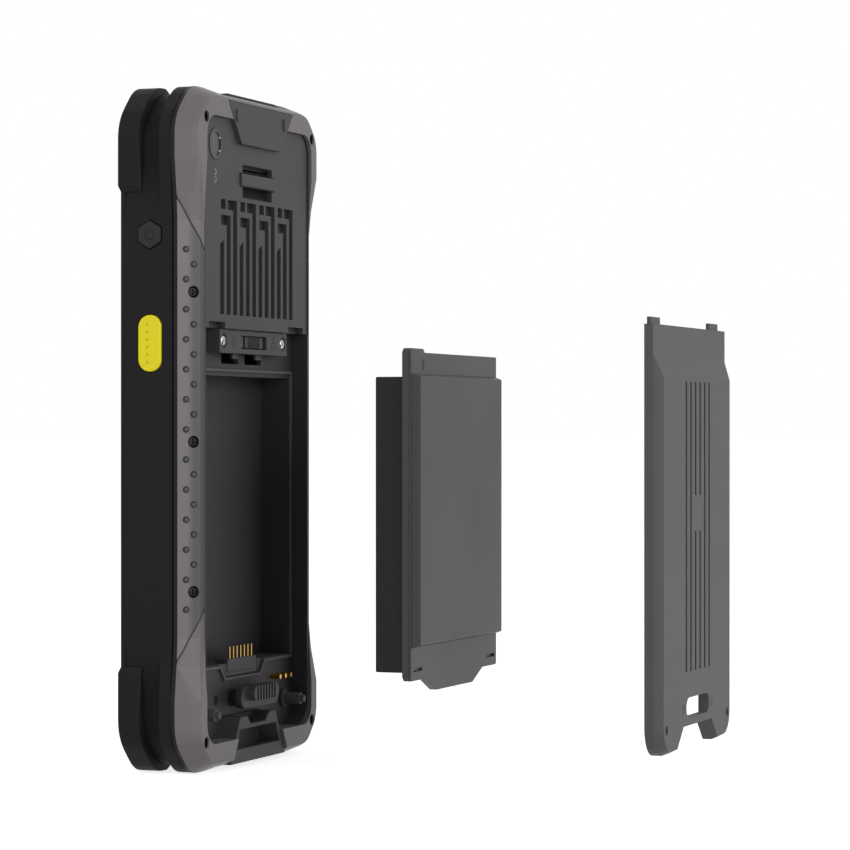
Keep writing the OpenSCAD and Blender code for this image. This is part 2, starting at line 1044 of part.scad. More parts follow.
block_half = 9.5;
block_low = 22;
block_floor = 1;
block_high = 26.2;

// Shell round the well and round the notch for the contact block.
module well_box(half, low, high) {
    wide_block(half + case_wall, [-well_floor - case_wall, seam_y + skin], [low - case_wall, high + case_wall]);
}

// Raised seat that the cover latch slides on.
pedestal_inset = 0.5;

module pedestal() {
    wide_block(pedestal_half, [ledge_y - skin, pedestal_top], [slider_low + pedestal_inset, slider_high - pedestal_inset]);
}

module bay_opening() {
    polygon(rounded([
        [bay_half, bay_low, bay_corner],
        [bay_half, bay_high, 0],
        [-bay_half, bay_high, 0],
        [-bay_half, bay_low, bay_corner]
    ]));
}

panel_side_gap = 0.7;
panel_back = rim_y - panel_drop;
panel_front = panel_back - panel_t;
panel_low = bay_high;
panel_high = body_h - panel_top_gap;
panel_half = strip_in - panel_side_gap;

module panel_outline(grow) {
    polygon(rounded([
        [panel_half + grow, panel_low, 0],
        [panel_half + grow, panel_high + grow, panel_corner],
        [-panel_half - grow, panel_high + grow, panel_corner],
        [-panel_half - grow, panel_low, 0]
    ]));
}

// Hollow between the floor plate and the rear panel.
panel_seat = 2.4;
lower_seat = 3;
strap_wall_x = 4;
strap_wall_low = 0.8;
strap_wall_high = 2.5;

module panel_cavity() {
    difference() {
        wide_block(
            panel_half - panel_seat,
            [ledge_y, panel_front + over],
            [bay_high + lower_seat, panel_high - panel_seat]);
        wide_block(
            strap_half + strap_wall_x,
            [ledge_y - over, panel_front + 2 * over],
            [strap_low - strap_wall_low, strap_high + strap_wall_high]);
    }
    wide_block(engine_half + gap, [seam_y - over, panel_front], [engine_low - gap, scan_low + skin]);
    both_sides()
        tab_cut(cover_in_y - gap, rim_y + over);
}

// Tabs of the cover and the open notches that they slide out of.
tab_side = 2.6;
tab_w = 9;
tab_out = bay_half - tab_side;
tab_in = tab_out - tab_w;
tab_h = 1.7;
tab_t = 0.9;
tab_root = 1;

module tab_cut(y0, y1) {
    block([tab_in - gap, tab_out + gap], [y0, y1], [bay_high - over, cover_high + tab_h + gap]);
}

// Spring leaf beside the latch block, in its recess.
leaf_room_w = 9.6;
leaf_drop_low = 9;
leaf_drop_high = 1.2;
leaf_in = bay_half - leaf_room_w;
leaf_low = bay_high - leaf_drop_low;
leaf_high = bay_high - leaf_drop_high;
leaf_side_gap = 0.6;
leaf_w = 1.5;
leaf_foot_in = [1.3, 0.3];
leaf_head_in = [4.1, 2.4];
leaf_foot = [leaf_in + leaf_foot_in.x, leaf_low + leaf_foot_in.y];
leaf_head = [leaf_in + leaf_head_in.x, leaf_high - leaf_head_in.y];

module leaf_pocket() {
    block([leaf_in, bay_half - leaf_side_gap], [seam_y + seam_line, ledge_y + over], [leaf_low, leaf_high]);
}

module eject_leaf() {
    color("#8a8a8e")
    slab(seam_y + seam_line, ledge_y + gap)
        polygon([
            leaf_foot,
            [leaf_foot.x + leaf_w, leaf_foot.y],
            [leaf_head.x + leaf_w, leaf_head.y],
            leaf_head
        ]);
}

// Posts that stand in the cover holes.
module post_holes() {
    both_sides()
        translate([post_x, 0, post_z])
            rod(post_root_d, seam_y + seam_line, ledge_y + over);
}

module guide_posts() {
    color("#3c3c3f")
    both_sides()
        translate([post_x, 0, post_z]) {
            rod(post_root_d, seam_y + seam_line, ledge_y + skin);
            rod(post_flange_d, ledge_y, ledge_y + post_flange_t);
            rod(post_d, ledge_y, post_top);
            rod(post_tip_d, ledge_y, post_tip);
        }
}

module rear_panel() {
    color("#4a484b")
    difference() {
        slab(panel_front, panel_back)
            panel_outline(0);
        grille();
        strap_pocket(slip);
        wide_block(bar_half + slip, [panel_front - over, panel_back + over], [bar_low - slip, bar_high + slip]);
        translate([camera_x, 0, camera_z])
            rod(camera_d, panel_front - over, panel_back + over);
        for (z = lamp_heights)
            translate([lamp_x, 0, z])
                rod(lamp_d, panel_front - over, panel_back + over);
        both_sides()
            tab_cut(panel_front - over, panel_back + over);
    }
}

// The grille: four groups of three slots with square heads.
grille_high = body_h - grille_top_gap;
head_h = slot_w + 0.1;
second_top_share = 1.6;
second_head_share = 2.6;
third_top_share = 4.1;
third_slant_share = 4.6;
head_inset = 0.5;
head_rib = 0.6;
group_slots = 3;

module grille() {
    outer = slot_pitch + slot_w / 2;
    for (group = [-1.5 : 1 : 1.5])
        translate([group * group_slots * slot_pitch, 0, 0])
            slab(panel_front - over, panel_back + over) {
                slot_box(-slot_pitch, grille_high);
                slot_box(0, grille_high - second_top_share * head_h);
                polygon([
                    [outer - slot_w, grille_low],
                    [outer, grille_low],
                    [outer, grille_high - third_slant_share * head_h],
                    [outer - slot_w, grille_high - third_top_share * head_h]
                ]);
                translate([-slot_pitch, grille_high - head_h])
                    square([outer - head_inset, head_h]);
                translate([0, grille_high - second_head_share * head_h])
                    square([outer - head_inset, head_h]);
                translate([slot_w / 2 + head_rib, grille_high - head_h])
                    square([slot_pitch - head_inset - head_rib, head_h]);
            }
}

module slot_box(x, high) {
    translate([x - slot_w / 2, grille_low])
        square([slot_w, high - grille_low]);
}

// Strap bar over a round hollow.
strap_half = 9;
strap_gap_low = 26;
strap_gap_high = 17.7;
strap_low = body_h - strap_gap_low;
strap_high = body_h - strap_gap_high;
strap_floor = 5.6;
bar_half = 10.7;
bar_lift = 2.9;
bar_w = 3.2;
bar_low = strap_low + bar_lift;
bar_high = bar_low + bar_w;
bar_back = 9.8;
bar_edge = 0.5;

module strap_pocket(grow) {
    depth = strap_high - strap_low;
    translate([0, strap_floor + depth / 2, strap_low + depth / 2])
        cross_rod(depth, -strap_half - grow, strap_half + grow);
}

module strap_bar() {
    color("#454346")
    difference() {
        wide_block(bar_half, [panel_front, bar_back], [bar_low, bar_high]);
        for (z = [bar_low, bar_high])
            translate([-bar_half - over, bar_back, z])
                rotate([45, 0, 0])
                    translate([0, -bar_edge / 2, -bar_edge / 2])
                        cube([2 * (bar_half + over), bar_edge, bar_edge]);
    }
}

// Mesh and loudspeaker behind the grille.
mesh_t = 0.2;
mesh_margin = 0.2;
speaker_half = 9;
speaker_rise = 2;
speaker_h = 16;
speaker_d = 12;

module speaker_mesh() {
    color("#141415")
    wide_block(
        2 * group_slots * slot_pitch,
        [panel_front - mesh_t, panel_front],
        [grille_low - mesh_margin, grille_high + mesh_margin]);
}

module loudspeaker() {
    color("#29292b")
    translate([0, 0, grille_low + speaker_rise]) {
        wide_block(speaker_half, [ledge_y, panel_front - mesh_t - gap], [0, speaker_h]);
        translate([0, 0, speaker_h / 2])
            rod(speaker_d, ledge_y, panel_front - mesh_t);
    }
}

// Camera and lamps.
camera_side = 12.6;
camera_x = side_half - camera_side;
camera_gap = 13.9;
camera_z = body_h - camera_gap;
camera_d = 7.8;
camera_ring_w = 0.9;
camera_ring_proud = 0.15;
camera_half = 3.6;
camera_lens_d = 5;
camera_clear = 0.4;
lamp_shift = 0.2;
lamp_x = camera_x + lamp_shift;
lamp_d = 1.5;
lamp_gaps = [20.7, 22.5];
lamp_heights = [for (lamp_gap = lamp_gaps) body_h - lamp_gap];

module camera_window() {
    color("#101114")
    translate([camera_x, 0, camera_z])
        difference() {
            rod(camera_d, panel_front, panel_back + camera_ring_proud);
            rod(camera_d - 2 * camera_ring_w, panel_back - camera_ring_proud, panel_back + over);
        }
}

module camera_module() {
    color("#202124")
    translate([camera_x, 0, camera_z]) {
        wide_block(camera_half, [ledge_y, panel_front - camera_clear], [-camera_half, camera_half]);
        rod(camera_lens_d, ledge_y, panel_front);
    }
}

module flash_lamps() {
    color("#e8e6d8")
    for (z = lamp_heights)
        translate([lamp_x, 0, z])
            rod(lamp_d, ledge_y, panel_back);
}

// Scanner: engine, frame of the window, window and cap.
engine_half = 10;
engine_gap_low = 18.5;
engine_low = body_h - engine_gap_low;
engine_clear = 0.4;
engine_top_gap = 1;
engine_wall = 2;
engine_mouth = [0, 5];
engine_mouth_deep = 4;

module scan_engine() {
    color("#17181a")
    difference() {
        wide_block(
            engine_half,
            [board_y + board_t, panel_front - engine_clear],
            [engine_low, scan_low - engine_top_gap]);
        wide_block(engine_half - engine_wall, engine_mouth, [scan_low - engine_mouth_deep, scan_low]);
    }
}

bezel_step = 0.8;
window_seat = 1.4;
window_drop = 0.5;

module scan_bezel() {
    color("#1b1b1d")
    difference() {
        wide_block(scan_half, [scan_front, scan_back], [scan_low, scan_top]);
        scan_hole(0, scan_low - over, scan_top + over);
        scan_hole(bezel_step, scan_top - window_seat, scan_top + over);
    }
}

module scan_window() {
    color("#5a1014")
    scan_hole(bezel_step, scan_top - window_seat, scan_top - window_drop);
}

module scan_hole(grow, z0, z1) {
    wide_block(
        scan_glass_half + grow,
        [scan_front + scan_rim - grow, scan_back - scan_rim + grow],
        [z0, z1]);
}

bump_x = 14.7;
bump_w = 2.2;
bump_len = 3.2;
bump_drop = 3;
bump_proud = 0.4;

module scanner_cap() {
    color("#4a484b")
    union() {
        slab(panel_back, cap_y)
            cap_shape(0);
        both_sides()
            translate([bump_x, 0, cap_high - bump_drop])
                slab(panel_back, cap_y + bump_proud)
                    stadium(bump_w, bump_len);
    }
}

// Strips and corner caps.

module grip_strip() {
    difference() {
        intersection() {
            union() {
                rear_middle();
                both_ends()
                    rear_widening();
            }
            slab(chamfer_y, rim_y + over)
                strip_region(joint_line / 2);
            block([0, strip_out], [0, rim_y + over], [0, body_h]);
        }
        strip_screw_rods(over);
    }
    strip_dots();
}

// Point of the straight part of the chamfer at a share of its run.
function chamfer_point(share) = [
    side_half - chamfer_in * roll_in[1] * share,
    chamfer_y + (rim_y - chamfer_y) * roll_up[1] * share
];

// The rows of dots and the screws stand on one pitch, on both sides of the middle height.
dot_pitch_share = 0.165;
dot_pitch = joint_in * dot_pitch_share;
dot_steps = 6;
dot_d = 1.5;
dot_h = 0.25;
dot_share = 0.5;
strip_screw_share = 0.95;
strip_screw_steps = [-5.5, -0.5, 4.5];
strip_screw_lift = 0.6;
screw_sink = 1.3;

// Turns a bar along y so that it stands square on the chamfer.
module on_chamfer(share, z) {
    spot = chamfer_point(share);
    translate([spot.x, spot.y, z])
        rotate([0, 0, -45])
            children();
}

// Rods at the strip screws, which reach out to the given height over the chamfer.
module strip_screw_rods(reach) {
    for (k = strip_screw_steps)
        on_chamfer(strip_screw_share, half_h + dot_pitch * k + strip_screw_lift)
            rod(screw_hole, -screw_sink - screw_head_t / 2, reach);
}

// Two rows of dots. The second row leaves out the places of the screws.
module strip_dots() {
    for (k = [-dot_steps : dot_steps])
        on_chamfer(dot_share, half_h + dot_pitch * k)
            rod(dot_d, -dot_h, dot_h);
    for (k = [1 - dot_steps : dot_steps - 1])
        if ((k + dot_steps) % 5 > 0)
            on_chamfer(strip_screw_share, half_h + dot_pitch * (k + 0.5))
                rod(dot_d, -dot_h, dot_h);
}

module grip_strip_right() {
    color("#7d787b")
    grip_strip();
}

module grip_strip_left() {
    color("#7d787b")
    mirror([1, 0, 0])
        grip_strip();
}

module strip_screws() {
    color("#101011")
    both_sides()
        strip_screw_rods(screw_head_t / 2 - screw_sink);
}

// The upper corner region of the chamfered rear, with its joint lines.
module corner_cap(dip) {
    difference() {
        union() {
            rear_middle();
            rear_widening();
            rear_top();
        }
        block([-strip_out, strip_out], [0, corner_y + over], [0, half_h + cap_start]);
        slab(0, corner_y + over)
            strip_region(-joint_line / 2);
        slab(0, corner_y + over)
            inner_field(0);
        dip_cut(dip);
        both_sides()
            translate([boss_x, 0, body_h - boss_in]) {
                rod(screw_hole, screw_seat, corner_y + over);
                rod(screw_shank + gap, 0, corner_y);
            }
    }
}

cap_overlap = 8.5;
cap_start = joint_in - cap_overlap;

module upper_cap() {
    color("#6f6b6e")
    difference() {
        corner_cap(end_dip);
        slab(panel_back, corner_y + over)
            cap_shape(slip);
        scan_pocket(0);
        scan_opening();
        wide_block(engine_half + gap, [0, panel_front], [half_h, scan_low + skin]);
    }
}

// One of the two lower corner regions, beside the strap anchor.
module lower_cap() {
    difference() {
        upside_down()
            corner_cap(foot_dip);
        anchor_room(slip);
        block([-strip_out, 0], [0, corner_y + over], [-over, half_h]);
    }
}

module lower_cap_right() {
    color("#6f6b6e")
    lower_cap();
}

module lower_cap_left() {
    color("#6f6b6e")
    mirror([1, 0, 0])
        lower_cap();
}

shank_rise = 2;

module corner_screws() {
    color("#101011")
    both_sides()
        both_ends()
            translate([boss_x, 0, boss_in]) {
                rod(screw_head, screw_seat, screw_seat + screw_head_t);
                rod(screw_shank, plate_back + shank_rise, screw_seat + skin);
            }
}

// Strap anchor.

// Room for the anchor in the lower end of the rear parts.
module anchor_room(grow) {
    slab(anchor_back - grow, corner_y + over) {
        anchor_shape(grow);
        translate([-anchor_low_half - grow, -over])
            square([2 * (anchor_low_half + grow), anchor_low + over + skin]);
    }
}

module strap_anchor() {
    color("#454346")
    difference() {
        slab(anchor_back, rim_y)
            anchor_shape(0);
        // Slot for the strap from behind, and its way out of the lower end.
        slab(anchor_floor, rim_y + over)
            polygon([
                [-anchor_slot_low_half, anchor_slot_low],
                [anchor_slot_low_half, anchor_slot_low],
                [anchor_slot_high_half, anchor_slot_high],
                [-anchor_slot_high_half, anchor_slot_high]
            ]);
        wide_block(anchor_slot_high_half, [anchor_floor, rim_y - anchor_bar_t], [-over, anchor_slot_low + skin]);
        // Notch in the upper edge.
        slab(ledge_y, rim_y + over)
            polygon([
                [-anchor_notch_low_half, anchor_notch_low],
                [anchor_notch_low_half, anchor_notch_low],
                [anchor_notch_high_half, anchor_top + skin],
                [-anchor_notch_high_half, anchor_top + skin]
            ]);
    }
}

// Fittings of the bay.

seal_low = 24.6;
seal_drop = 10;
seal_high = bay_high - seal_drop;
seal_dip = 21.4;
seal_half = (bay_half + well_half) / 2;
seal_bend_out = 13.6;
seal_bend_in = 10.8;

module seal_shape(grow) {
    bend_out = seal_bend_out + grow / 2;
    bend_in = seal_bend_in + grow / 2;
    polygon([
        [-seal_half - grow, seal_low - grow],
        [-bend_out, seal_low - grow],
        [-bend_in, seal_dip - grow],
        [bend_in, seal_dip - grow],
        [bend_out, seal_low - grow],
        [seal_half + grow, seal_low - grow],
        [seal_half + grow, seal_high + grow],
        [-seal_half - grow, seal_high + grow]
    ]);
}

module bay_seal() {
    color("#5c5a5d")
    slab(ledge_y, lip_y)
        difference() {
            seal_shape(seal_w / 2);
            seal_shape(-seal_w / 2);
        }
}

blade_pitch = 2.23;
blade_w = 0.5;
blade_t = 0.3;
blade_drop = 0.4;
blade_top = 29.2;
blade_reach = 3;
block_step = [0.7, 0.6, 1];
block_proud = 0.2;

module contact_block() {
    color("#5b595c")
    union() {
        wide_block(block_half, [block_floor, ledge_y], [block_low, block_high - block_step.z]);
        wide_block(
            block_half - block_step.x,
            [block_floor + block_step.y, ledge_y + block_proud],
            [block_low + block_step.z, block_high]);
    }
}

module contact_blades() {
    color("#c9a23f")
    for (k = [-blade_reach : blade_reach])
        translate([k * blade_pitch, 0, 0])
            wide_block(blade_w / 2, [ledge_y - blade_drop, ledge_y - blade_drop + blade_t], [block_high, blade_top]);
}

pin_side = 8.6;
pin_x = pin_side - bay_half;
pin_pitch = 3.5;
pin_z = 20;
pin_d = 1.2;
pin_top = 7.2;
pin_foot_d = 2;
pin_foot_t = 0.5;

module pogo_pins() {
    color("#c9a23f")
    at_pins() {
        rod(pin_d, seam_y - pin_foot_t, pin_top);
        rod(pin_foot_d, seam_y - pin_foot_t - slip, seam_y - slip);
    }
}

module pin_holes() {
    at_pins()
        rod(pin_d + 2 * slip, seam_y - over, ledge_y + over);
}

module at_pins() {
    for (k = [-1 : 1])
        translate([pin_x + k * pin_pitch, 0, pin_z])
            children();
}

channel_half = 13.5;
channel_top = 7.2;
channel_lip = 0.6;
latch_screw_d = 1.4;
latch_head_d = 2.6;
latch_head_t = 0.5;
latch_recess_d = 3.6;

module latch_plate() {
    color("#454346")
    difference() {
        wide_block(latch_half, [ledge_y, latch_top], [latch_low, latch_high]);
        wide_block(channel_half, [ledge_y - over, channel_top], [latch_low - over, window_high + channel_lip]);
        wide_block(window_half, [ledge_y, latch_top + over], [window_low, window_high]);
        at_latch_screws() {
            rod(latch_screw_d, ledge_y - over, latch_top + over);
            rod(latch_recess_d, latch_top - latch_head_t, latch_top + over);
        }
    }
}

module at_latch_screws() {
    both_sides()
        translate([latch_screw_x, 0, latch_screw_z])
            children();
}

module latch_screws() {
    color("#b8b9bc")
    at_latch_screws() {
        rod(latch_screw_d, ledge_y, latch_top - latch_head_t + skin);
        rod(latch_head_d, latch_top - latch_head_t, latch_top);
    }
}

latch_play = 0.2;
latch_end_play = 0.4;
ridge_pitch = 1.1;
ridge_first = -4.4;
ridge_count = 7;
ridge_slot_half = 0.3;
ridge_slot_deep = 0.5;
mark_x = 4.7;
mark_half = 0.6;

// Slider of the battery latch, with two tabs and a ridged thumb piece.
module battery_latch() {
    color("#5a585b")
    translate([latch_shift, 0, 0]) {
        thumb_top = latch_top - latch_play;
        plate_top = channel_top - latch_play;
        wide_block(
            channel_half - latch_shift - latch_end_play,
            [tab_front, plate_top],
            [latch_low + gap, window_high + gap]);
        both_sides()
            translate([tab_x, 0, 0])
                wide_block(tab_half, [tab_front, tab_back], [tab_low, latch_low + gap + skin]);
        difference() {
            wide_block(thumb_half, [plate_top - skin, thumb_top], [window_low + gap, window_high - gap]);
            for (k = [0 : ridge_count - 1])
                translate([ridge_first + k * ridge_pitch, 0, 0])
                    wide_block(ridge_slot_half, [thumb_top - ridge_slot_deep, thumb_top + over], [window_low, window_high]);
            translate([mark_x, 0, 0])
                wide_block(mark_half, [channel_top, thumb_top + over], [window_low, window_high]);
        }
    }
}

stem_half = 2.5;
stem_t = 1.6;
stem_head = 3.6;
stem_head_t = 1;
stem_play = 0.2;
slider_mid = (slider_low + slider_high) / 2;
rib_slot_pitch = 1.75;
rib_slot_half = 0.45;
rib_slot_deep = 0.6;
rib_reach = 3;

// Slot in the housing floor that keeps the cover latch down.
module stem_slot() {
    reach = stem_half + cover_latch_stroke / 2 + gap;
    half = stem_t / 2 + gap;
    wide_block(reach, [seam_y - over, slider_top], [slider_mid - half, slider_mid + half]);
}

// Slider of the cover latch, with a ribbed knob and a stem with a wide foot.
module cover_latch() {
    color("#4c4a4d")
    translate([-knob_shift, 0, 0]) {
        stem_low = seam_y - stem_play;
        slab(slider_top - slider_t, slider_top)
            translate([0, slider_mid])
                rotate(90)
                    stadium(slider_high - slider_low, 2 * slider_half);
        difference() {
            slab(slider_top - skin, knob_top)
                translate([0, (knob_low + knob_high) / 2])
                    rotate(90)
                        stadium(knob_high - knob_low, 2 * knob_half);
            for (k = [-rib_reach : rib_reach])
                translate([k * rib_slot_pitch, 0, 0])
                    wide_block(rib_slot_half, [knob_top - rib_slot_deep, knob_top + over], [knob_low - over, knob_high + over]);
        }
        wide_block(
            stem_half,
            [stem_low, slider_top - slider_t + skin],
            [slider_mid - stem_t / 2, slider_mid + stem_t / 2]);
        wide_block(
            stem_half,
            [stem_low - stem_head_t, stem_low + skin],
            [slider_mid - stem_head / 2, slider_mid + stem_head / 2]);
    }
}

// Battery.

module at_battery() {
    translate([0, battery_out, 0])
        children();
}

contact_gap_half = 9;
contact_pad_t = 0.2;
contact_pad_grow = 0.2;
contact_pad_in = [1, 0.6];
contact_gap_high = blade_top + gap + contact_pad_t;
case_floor = 4;
board_floor_t = 1;
cell_floor = 6.4;
board_lid_gap = 2;

module battery_case() {
    color("#1b1b1c")
    at_battery()
        difference() {
            wide_block(cell_box_w / 2, [box_front, lip_y], [box_low, box_high]);
            wide_block(
                cell_box_w / 2 - case_wall,
                [box_front + case_wall, lip_y + over],
                [contact_gap_high + case_floor, box_high - case_wall]);
            wide_block(contact_gap_half, [box_front - over, lip_y + over], [box_low - over, contact_gap_high]);
        }
}

lip_cut = 1;

module lip_outline() {
    lip_half = lip_w / 2;
    polygon([
        [-lip_half, lip_low + lip_cut],
        [lip_cut - lip_half, lip_low],
        [-tongue_root, lip_low],
        [-tongue_half, tongue_low],
        [tongue_half, tongue_low],
        [tongue_root, lip_low],
        [lip_half - lip_cut, lip_low],
        [lip_half, lip_low + lip_cut],
        [lip_half, lip_tab_high - lip_cut],
        [lip_half - lip_cut, lip_tab_high],
        [leaf_in, lip_tab_high],
        [leaf_in - lip_cut, lip_high],
        [-lip_half, lip_high]
    ]);
}

slab_step = 0.5;
foot_slot_side = 5.1;
foot_slot_x = lip_w / 2 - foot_slot_side;
foot_slot_half = 2.9;
foot_slot = [26, 26.7];
foot_slot_deep = 0.6;

module battery_lid() {
    color("#525053")
    at_battery()
        difference() {
            union() {
                slab(lip_y, slab_y)
                    lip_outline();
                intersection() {
                    slab(slab_y - skin, slab_top)
                        lip_outline();
                    wide_block(lip_w / 2 - slab_step, [0, slab_top + over], [0, body_h]);
                }
                hull() {
                    wide_block(
                        raised_w / 2 + raised_foot,
                        [slab_top - skin, slab_top],
                        [raised_low - raised_foot, raised_high + raised_foot]);
                    wide_block(raised_w / 2, [raised_y - skin, raised_y], [raised_low, raised_high]);
                }
            }
            latch_notches();
            both_sides()
                translate([foot_slot_x, 0, 0])
                    wide_block(foot_slot_half, [slab_top - foot_slot_deep, slab_top + over], foot_slot);
        }
}

// Pockets in the upper lip edge that take the tabs of the battery latch.
module latch_notches() {
    open_half = tab_half + gap;
    for (x = [-tab_x, tab_x]) {
        translate([x + latch_shift, 0, 0])
            wide_block(open_half, [lip_y - over, tab_back + gap], [tab_low - gap, lip_tab_high + over]);
        translate([x - latch_shift, 0, 0])
            wide_block(open_half, [tab_front - gap, tab_back + gap], [tab_low - gap, lip_tab_high + over]);
    }
}

module battery_cell() {
    color("#3a5f8a")
    at_battery()
        wide_block(
            cell_box_w / 2 - case_wall - gap,
            [box_front + case_wall, lip_y],
            [contact_gap_high + cell_floor, box_high - case_wall - gap]);
}

module battery_board() {
    color("#1f5a3a")
    at_battery()
        wide_block(
            cell_box_w / 2 - case_wall - gap,
            [box_front + case_wall, lip_y - board_lid_gap],
            [contact_gap_high + case_floor, contact_gap_high + case_floor + board_floor_t]);
}

module battery_contacts() {
    color("#c9a23f")
    at_battery()
        for (k = [-blade_reach : blade_reach])
            translate([k * blade_pitch, 0, 0])
                wide_block(
                    blade_w / 2 + contact_pad_grow,
                    [box_front + contact_pad_in[0], lip_y - contact_pad_in[1]],
                    [contact_gap_high - contact_pad_t, contact_gap_high]);
}

// Back cover.

module at_cover() {
    translate([0, cover_out, 0])
        children();
}

// Outline of the cover or of its raised middle, with two rounded lower corners.
module cover_outline(half, low, high, radius) {
    polygon(rounded([
        [half, low, radius],
        [half, high, 0],
        [-half, high, 0],
        [-half, low, radius]
    ]));
}

hump_foot_drop = 7.1;
hump_face_drop = 12.1;
hump_foot_high = cover_high - hump_foot_drop;
hump_face_high = cover_high - hump_face_drop;
hump_face_rise = 1;
hump_round_less = 1.5;
notch_top = 13.6;
notch_top_half = 12.2;
notch_low_half = 18.6;
hollow_gap = 0.7;
latch_relief = 0.6;
latch_room_x = [-14.6, 17.2];
latch_room_z = [12.9, 20.8];
post_hole_d = 2.2;
cover_slot_low = 26.2;
cover_slot_gap = 0.8;
cover_slot_high = hump_face_high - cover_slot_gap;
plain_lift = 3.05;
plain_h = 8.5;
plain_mid = (cover_slot_low + cover_slot_high) / 2 + plain_lift;
hook_z_gap = 1;
hook_front = 5.9;
hook_t = 1;
hook_reach = 12.2;
hook_in = 15.6;
hook_out = 17.3;

module cover_shell() {
    color("#67646a")
    at_cover() {
        difference() {
            union() {
                slab(cover_in_y, cover_edge_y)
                    cover_outline(cover_w / 2, cover_low, cover_high, cover_corner);
                hull() {
                    slab(cover_edge_y - skin, cover_edge_y)
                        cover_outline(hump_foot_w / 2, cover_low, hump_foot_high, cover_corner);
                    slab(cover_face_y - skin, cover_face_y)
                        cover_outline(
                            hump_w / 2,
                            cover_low + hump_face_rise,
                            hump_face_high,
                            cover_corner - hump_round_less);
                }
                both_sides()
                    block([tab_in, tab_out], [cover_in_y, cover_in_y + tab_t], [cover_high - tab_root, cover_high + tab_h]);
            }
            // Hollow for the raised battery face.
            wide_block(
                raised_w / 2 + raised_foot + gap,
                [cover_in_y - over, raised_y + gap],
                [raised_low - raised_foot - hollow_gap, raised_high + raised_foot + hollow_gap]);
            // Relief over the latch block.
            wide_block(
                latch_half + latch_relief,
                [cover_in_y - over, latch_top + gap],
                [lip_high - latch_relief, cover_high + over]);
            // Room for the cover latch, and the window for its knob.
            block(latch_room_x, [cover_in_y - over, slider_top + gap], latch_room_z);
            slab(cover_in_y, cover_face_y + over)
                translate([0, (cover_window_low + cover_window_high) / 2])
                    rotate(90)
                        stadium(cover_window_high - cover_window_low, 2 * cover_window_half);
            // Slots of the face.
            for (k = [-2.5 : 1 : 2.5])
                cover_slot(k);
            // Notch over the strap anchor.
            slab(cover_in_y - over, cover_face_y + over) {
                polygon([
                    [-notch_low_half, cover_low],
                    [notch_low_half, cover_low],
                    [notch_top_half, notch_top],
                    [-notch_top_half, notch_top]
                ]);
                translate([-notch_low_half, cover_low - over])
                    square([2 * notch_low_half, over + skin]);
            }
            both_sides()
                translate([post_x, 0, post_z]) {
                    rod(post_hole_d, cover_in_y, cover_face_y + over);
                    rod(post_flange_d + gap, cover_in_y - over, post_top + gap);
                }
        }
        cover_hook();
    }
}

// One slot of the face. The two middle ones leave a plain field.
module cover_slot(k) {
    translate([k * rib_pitch, 0, 0])
        difference() {
            wide_block(rib_w / 2, [cover_face_y - rib_depth, cover_face_y + over], [cover_slot_low, cover_slot_high]);
            if (abs(k) < 1)
                wide_block(rib_w, [cover_face_y - 2 * rib_depth, cover_face_y + 2 * over], [plain_mid - plain_h / 2, plain_mid + plain_h / 2]);
        }
}

// Hook inside the cover that the latch slides over.
module cover_hook() {
    hook_z = [slider_low + hook_z_gap, slider_high - hook_z_gap];
    block([hook_in, hook_out], [hook_front, slider_top + gap + skin], hook_z);
    block([hook_reach, hook_in + skin], [hook_front, hook_front + hook_t], hook_z);
}

front_housing();
touch_glass();
earpiece_mesh();
display_module();
mid_frame();
main_board();
rear_housing();
rear_panel();
grip_strip_right();
grip_strip_left();
upper_cap();
lower_cap_right();
lower_cap_left();
scanner_cap();
scan_bezel();
scan_window();
scan_engine();
camera_window();
camera_module();
flash_lamps();
loudspeaker();
speaker_mesh();
strap_bar();
strap_anchor();
bay_seal();
contact_block();
contact_blades();
pogo_pins();
latch_plate();
latch_screws();
battery_latch();
eject_leaf();
cover_latch();
guide_posts();
corner_screws();
strip_screws();
power_key();
scan_key_right();
scan_key_left();
volume_key();
key_board_right();
key_board_left();
data_port();
battery_case();
battery_lid();
battery_cell();
battery_board();
battery_contacts();
cover_shell();
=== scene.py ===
"""Looks of the data terminal, its battery and its back cover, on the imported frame.

The row frame has X to the terminal's right, Y out of its back and Z up along it. Detail pieces are
drawn in millimetres, and MM turns them into the frame's metres.
"""

import json
import math

import bmesh
import bpy
from mathutils import Matrix, Vector


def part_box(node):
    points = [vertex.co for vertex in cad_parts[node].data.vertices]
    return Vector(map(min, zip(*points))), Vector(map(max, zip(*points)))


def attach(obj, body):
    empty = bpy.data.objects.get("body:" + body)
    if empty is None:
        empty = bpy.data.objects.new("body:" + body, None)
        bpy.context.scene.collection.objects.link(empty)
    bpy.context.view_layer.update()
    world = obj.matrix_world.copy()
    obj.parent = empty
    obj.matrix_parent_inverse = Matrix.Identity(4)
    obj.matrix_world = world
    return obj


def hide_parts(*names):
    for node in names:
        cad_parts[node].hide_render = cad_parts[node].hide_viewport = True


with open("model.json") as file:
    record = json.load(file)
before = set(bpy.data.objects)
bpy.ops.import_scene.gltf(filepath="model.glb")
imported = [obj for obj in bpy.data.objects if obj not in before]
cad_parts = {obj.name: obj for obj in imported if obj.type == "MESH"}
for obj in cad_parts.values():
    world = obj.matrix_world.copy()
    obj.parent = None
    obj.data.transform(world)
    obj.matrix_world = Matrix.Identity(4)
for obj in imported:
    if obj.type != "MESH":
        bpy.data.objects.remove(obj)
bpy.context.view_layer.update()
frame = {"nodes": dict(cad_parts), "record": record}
nodes = frame["nodes"]

MM = 0.001
SCENE = bpy.context.scene
BACKWARDS = (0, 1, 0)
SIDES = ((1, "right"), (-1, "left"))

# Half the terminal's width at the grip, and the height of its middle, in millimetres.
HALF_W = 38.0
MIDDLE = 83.0

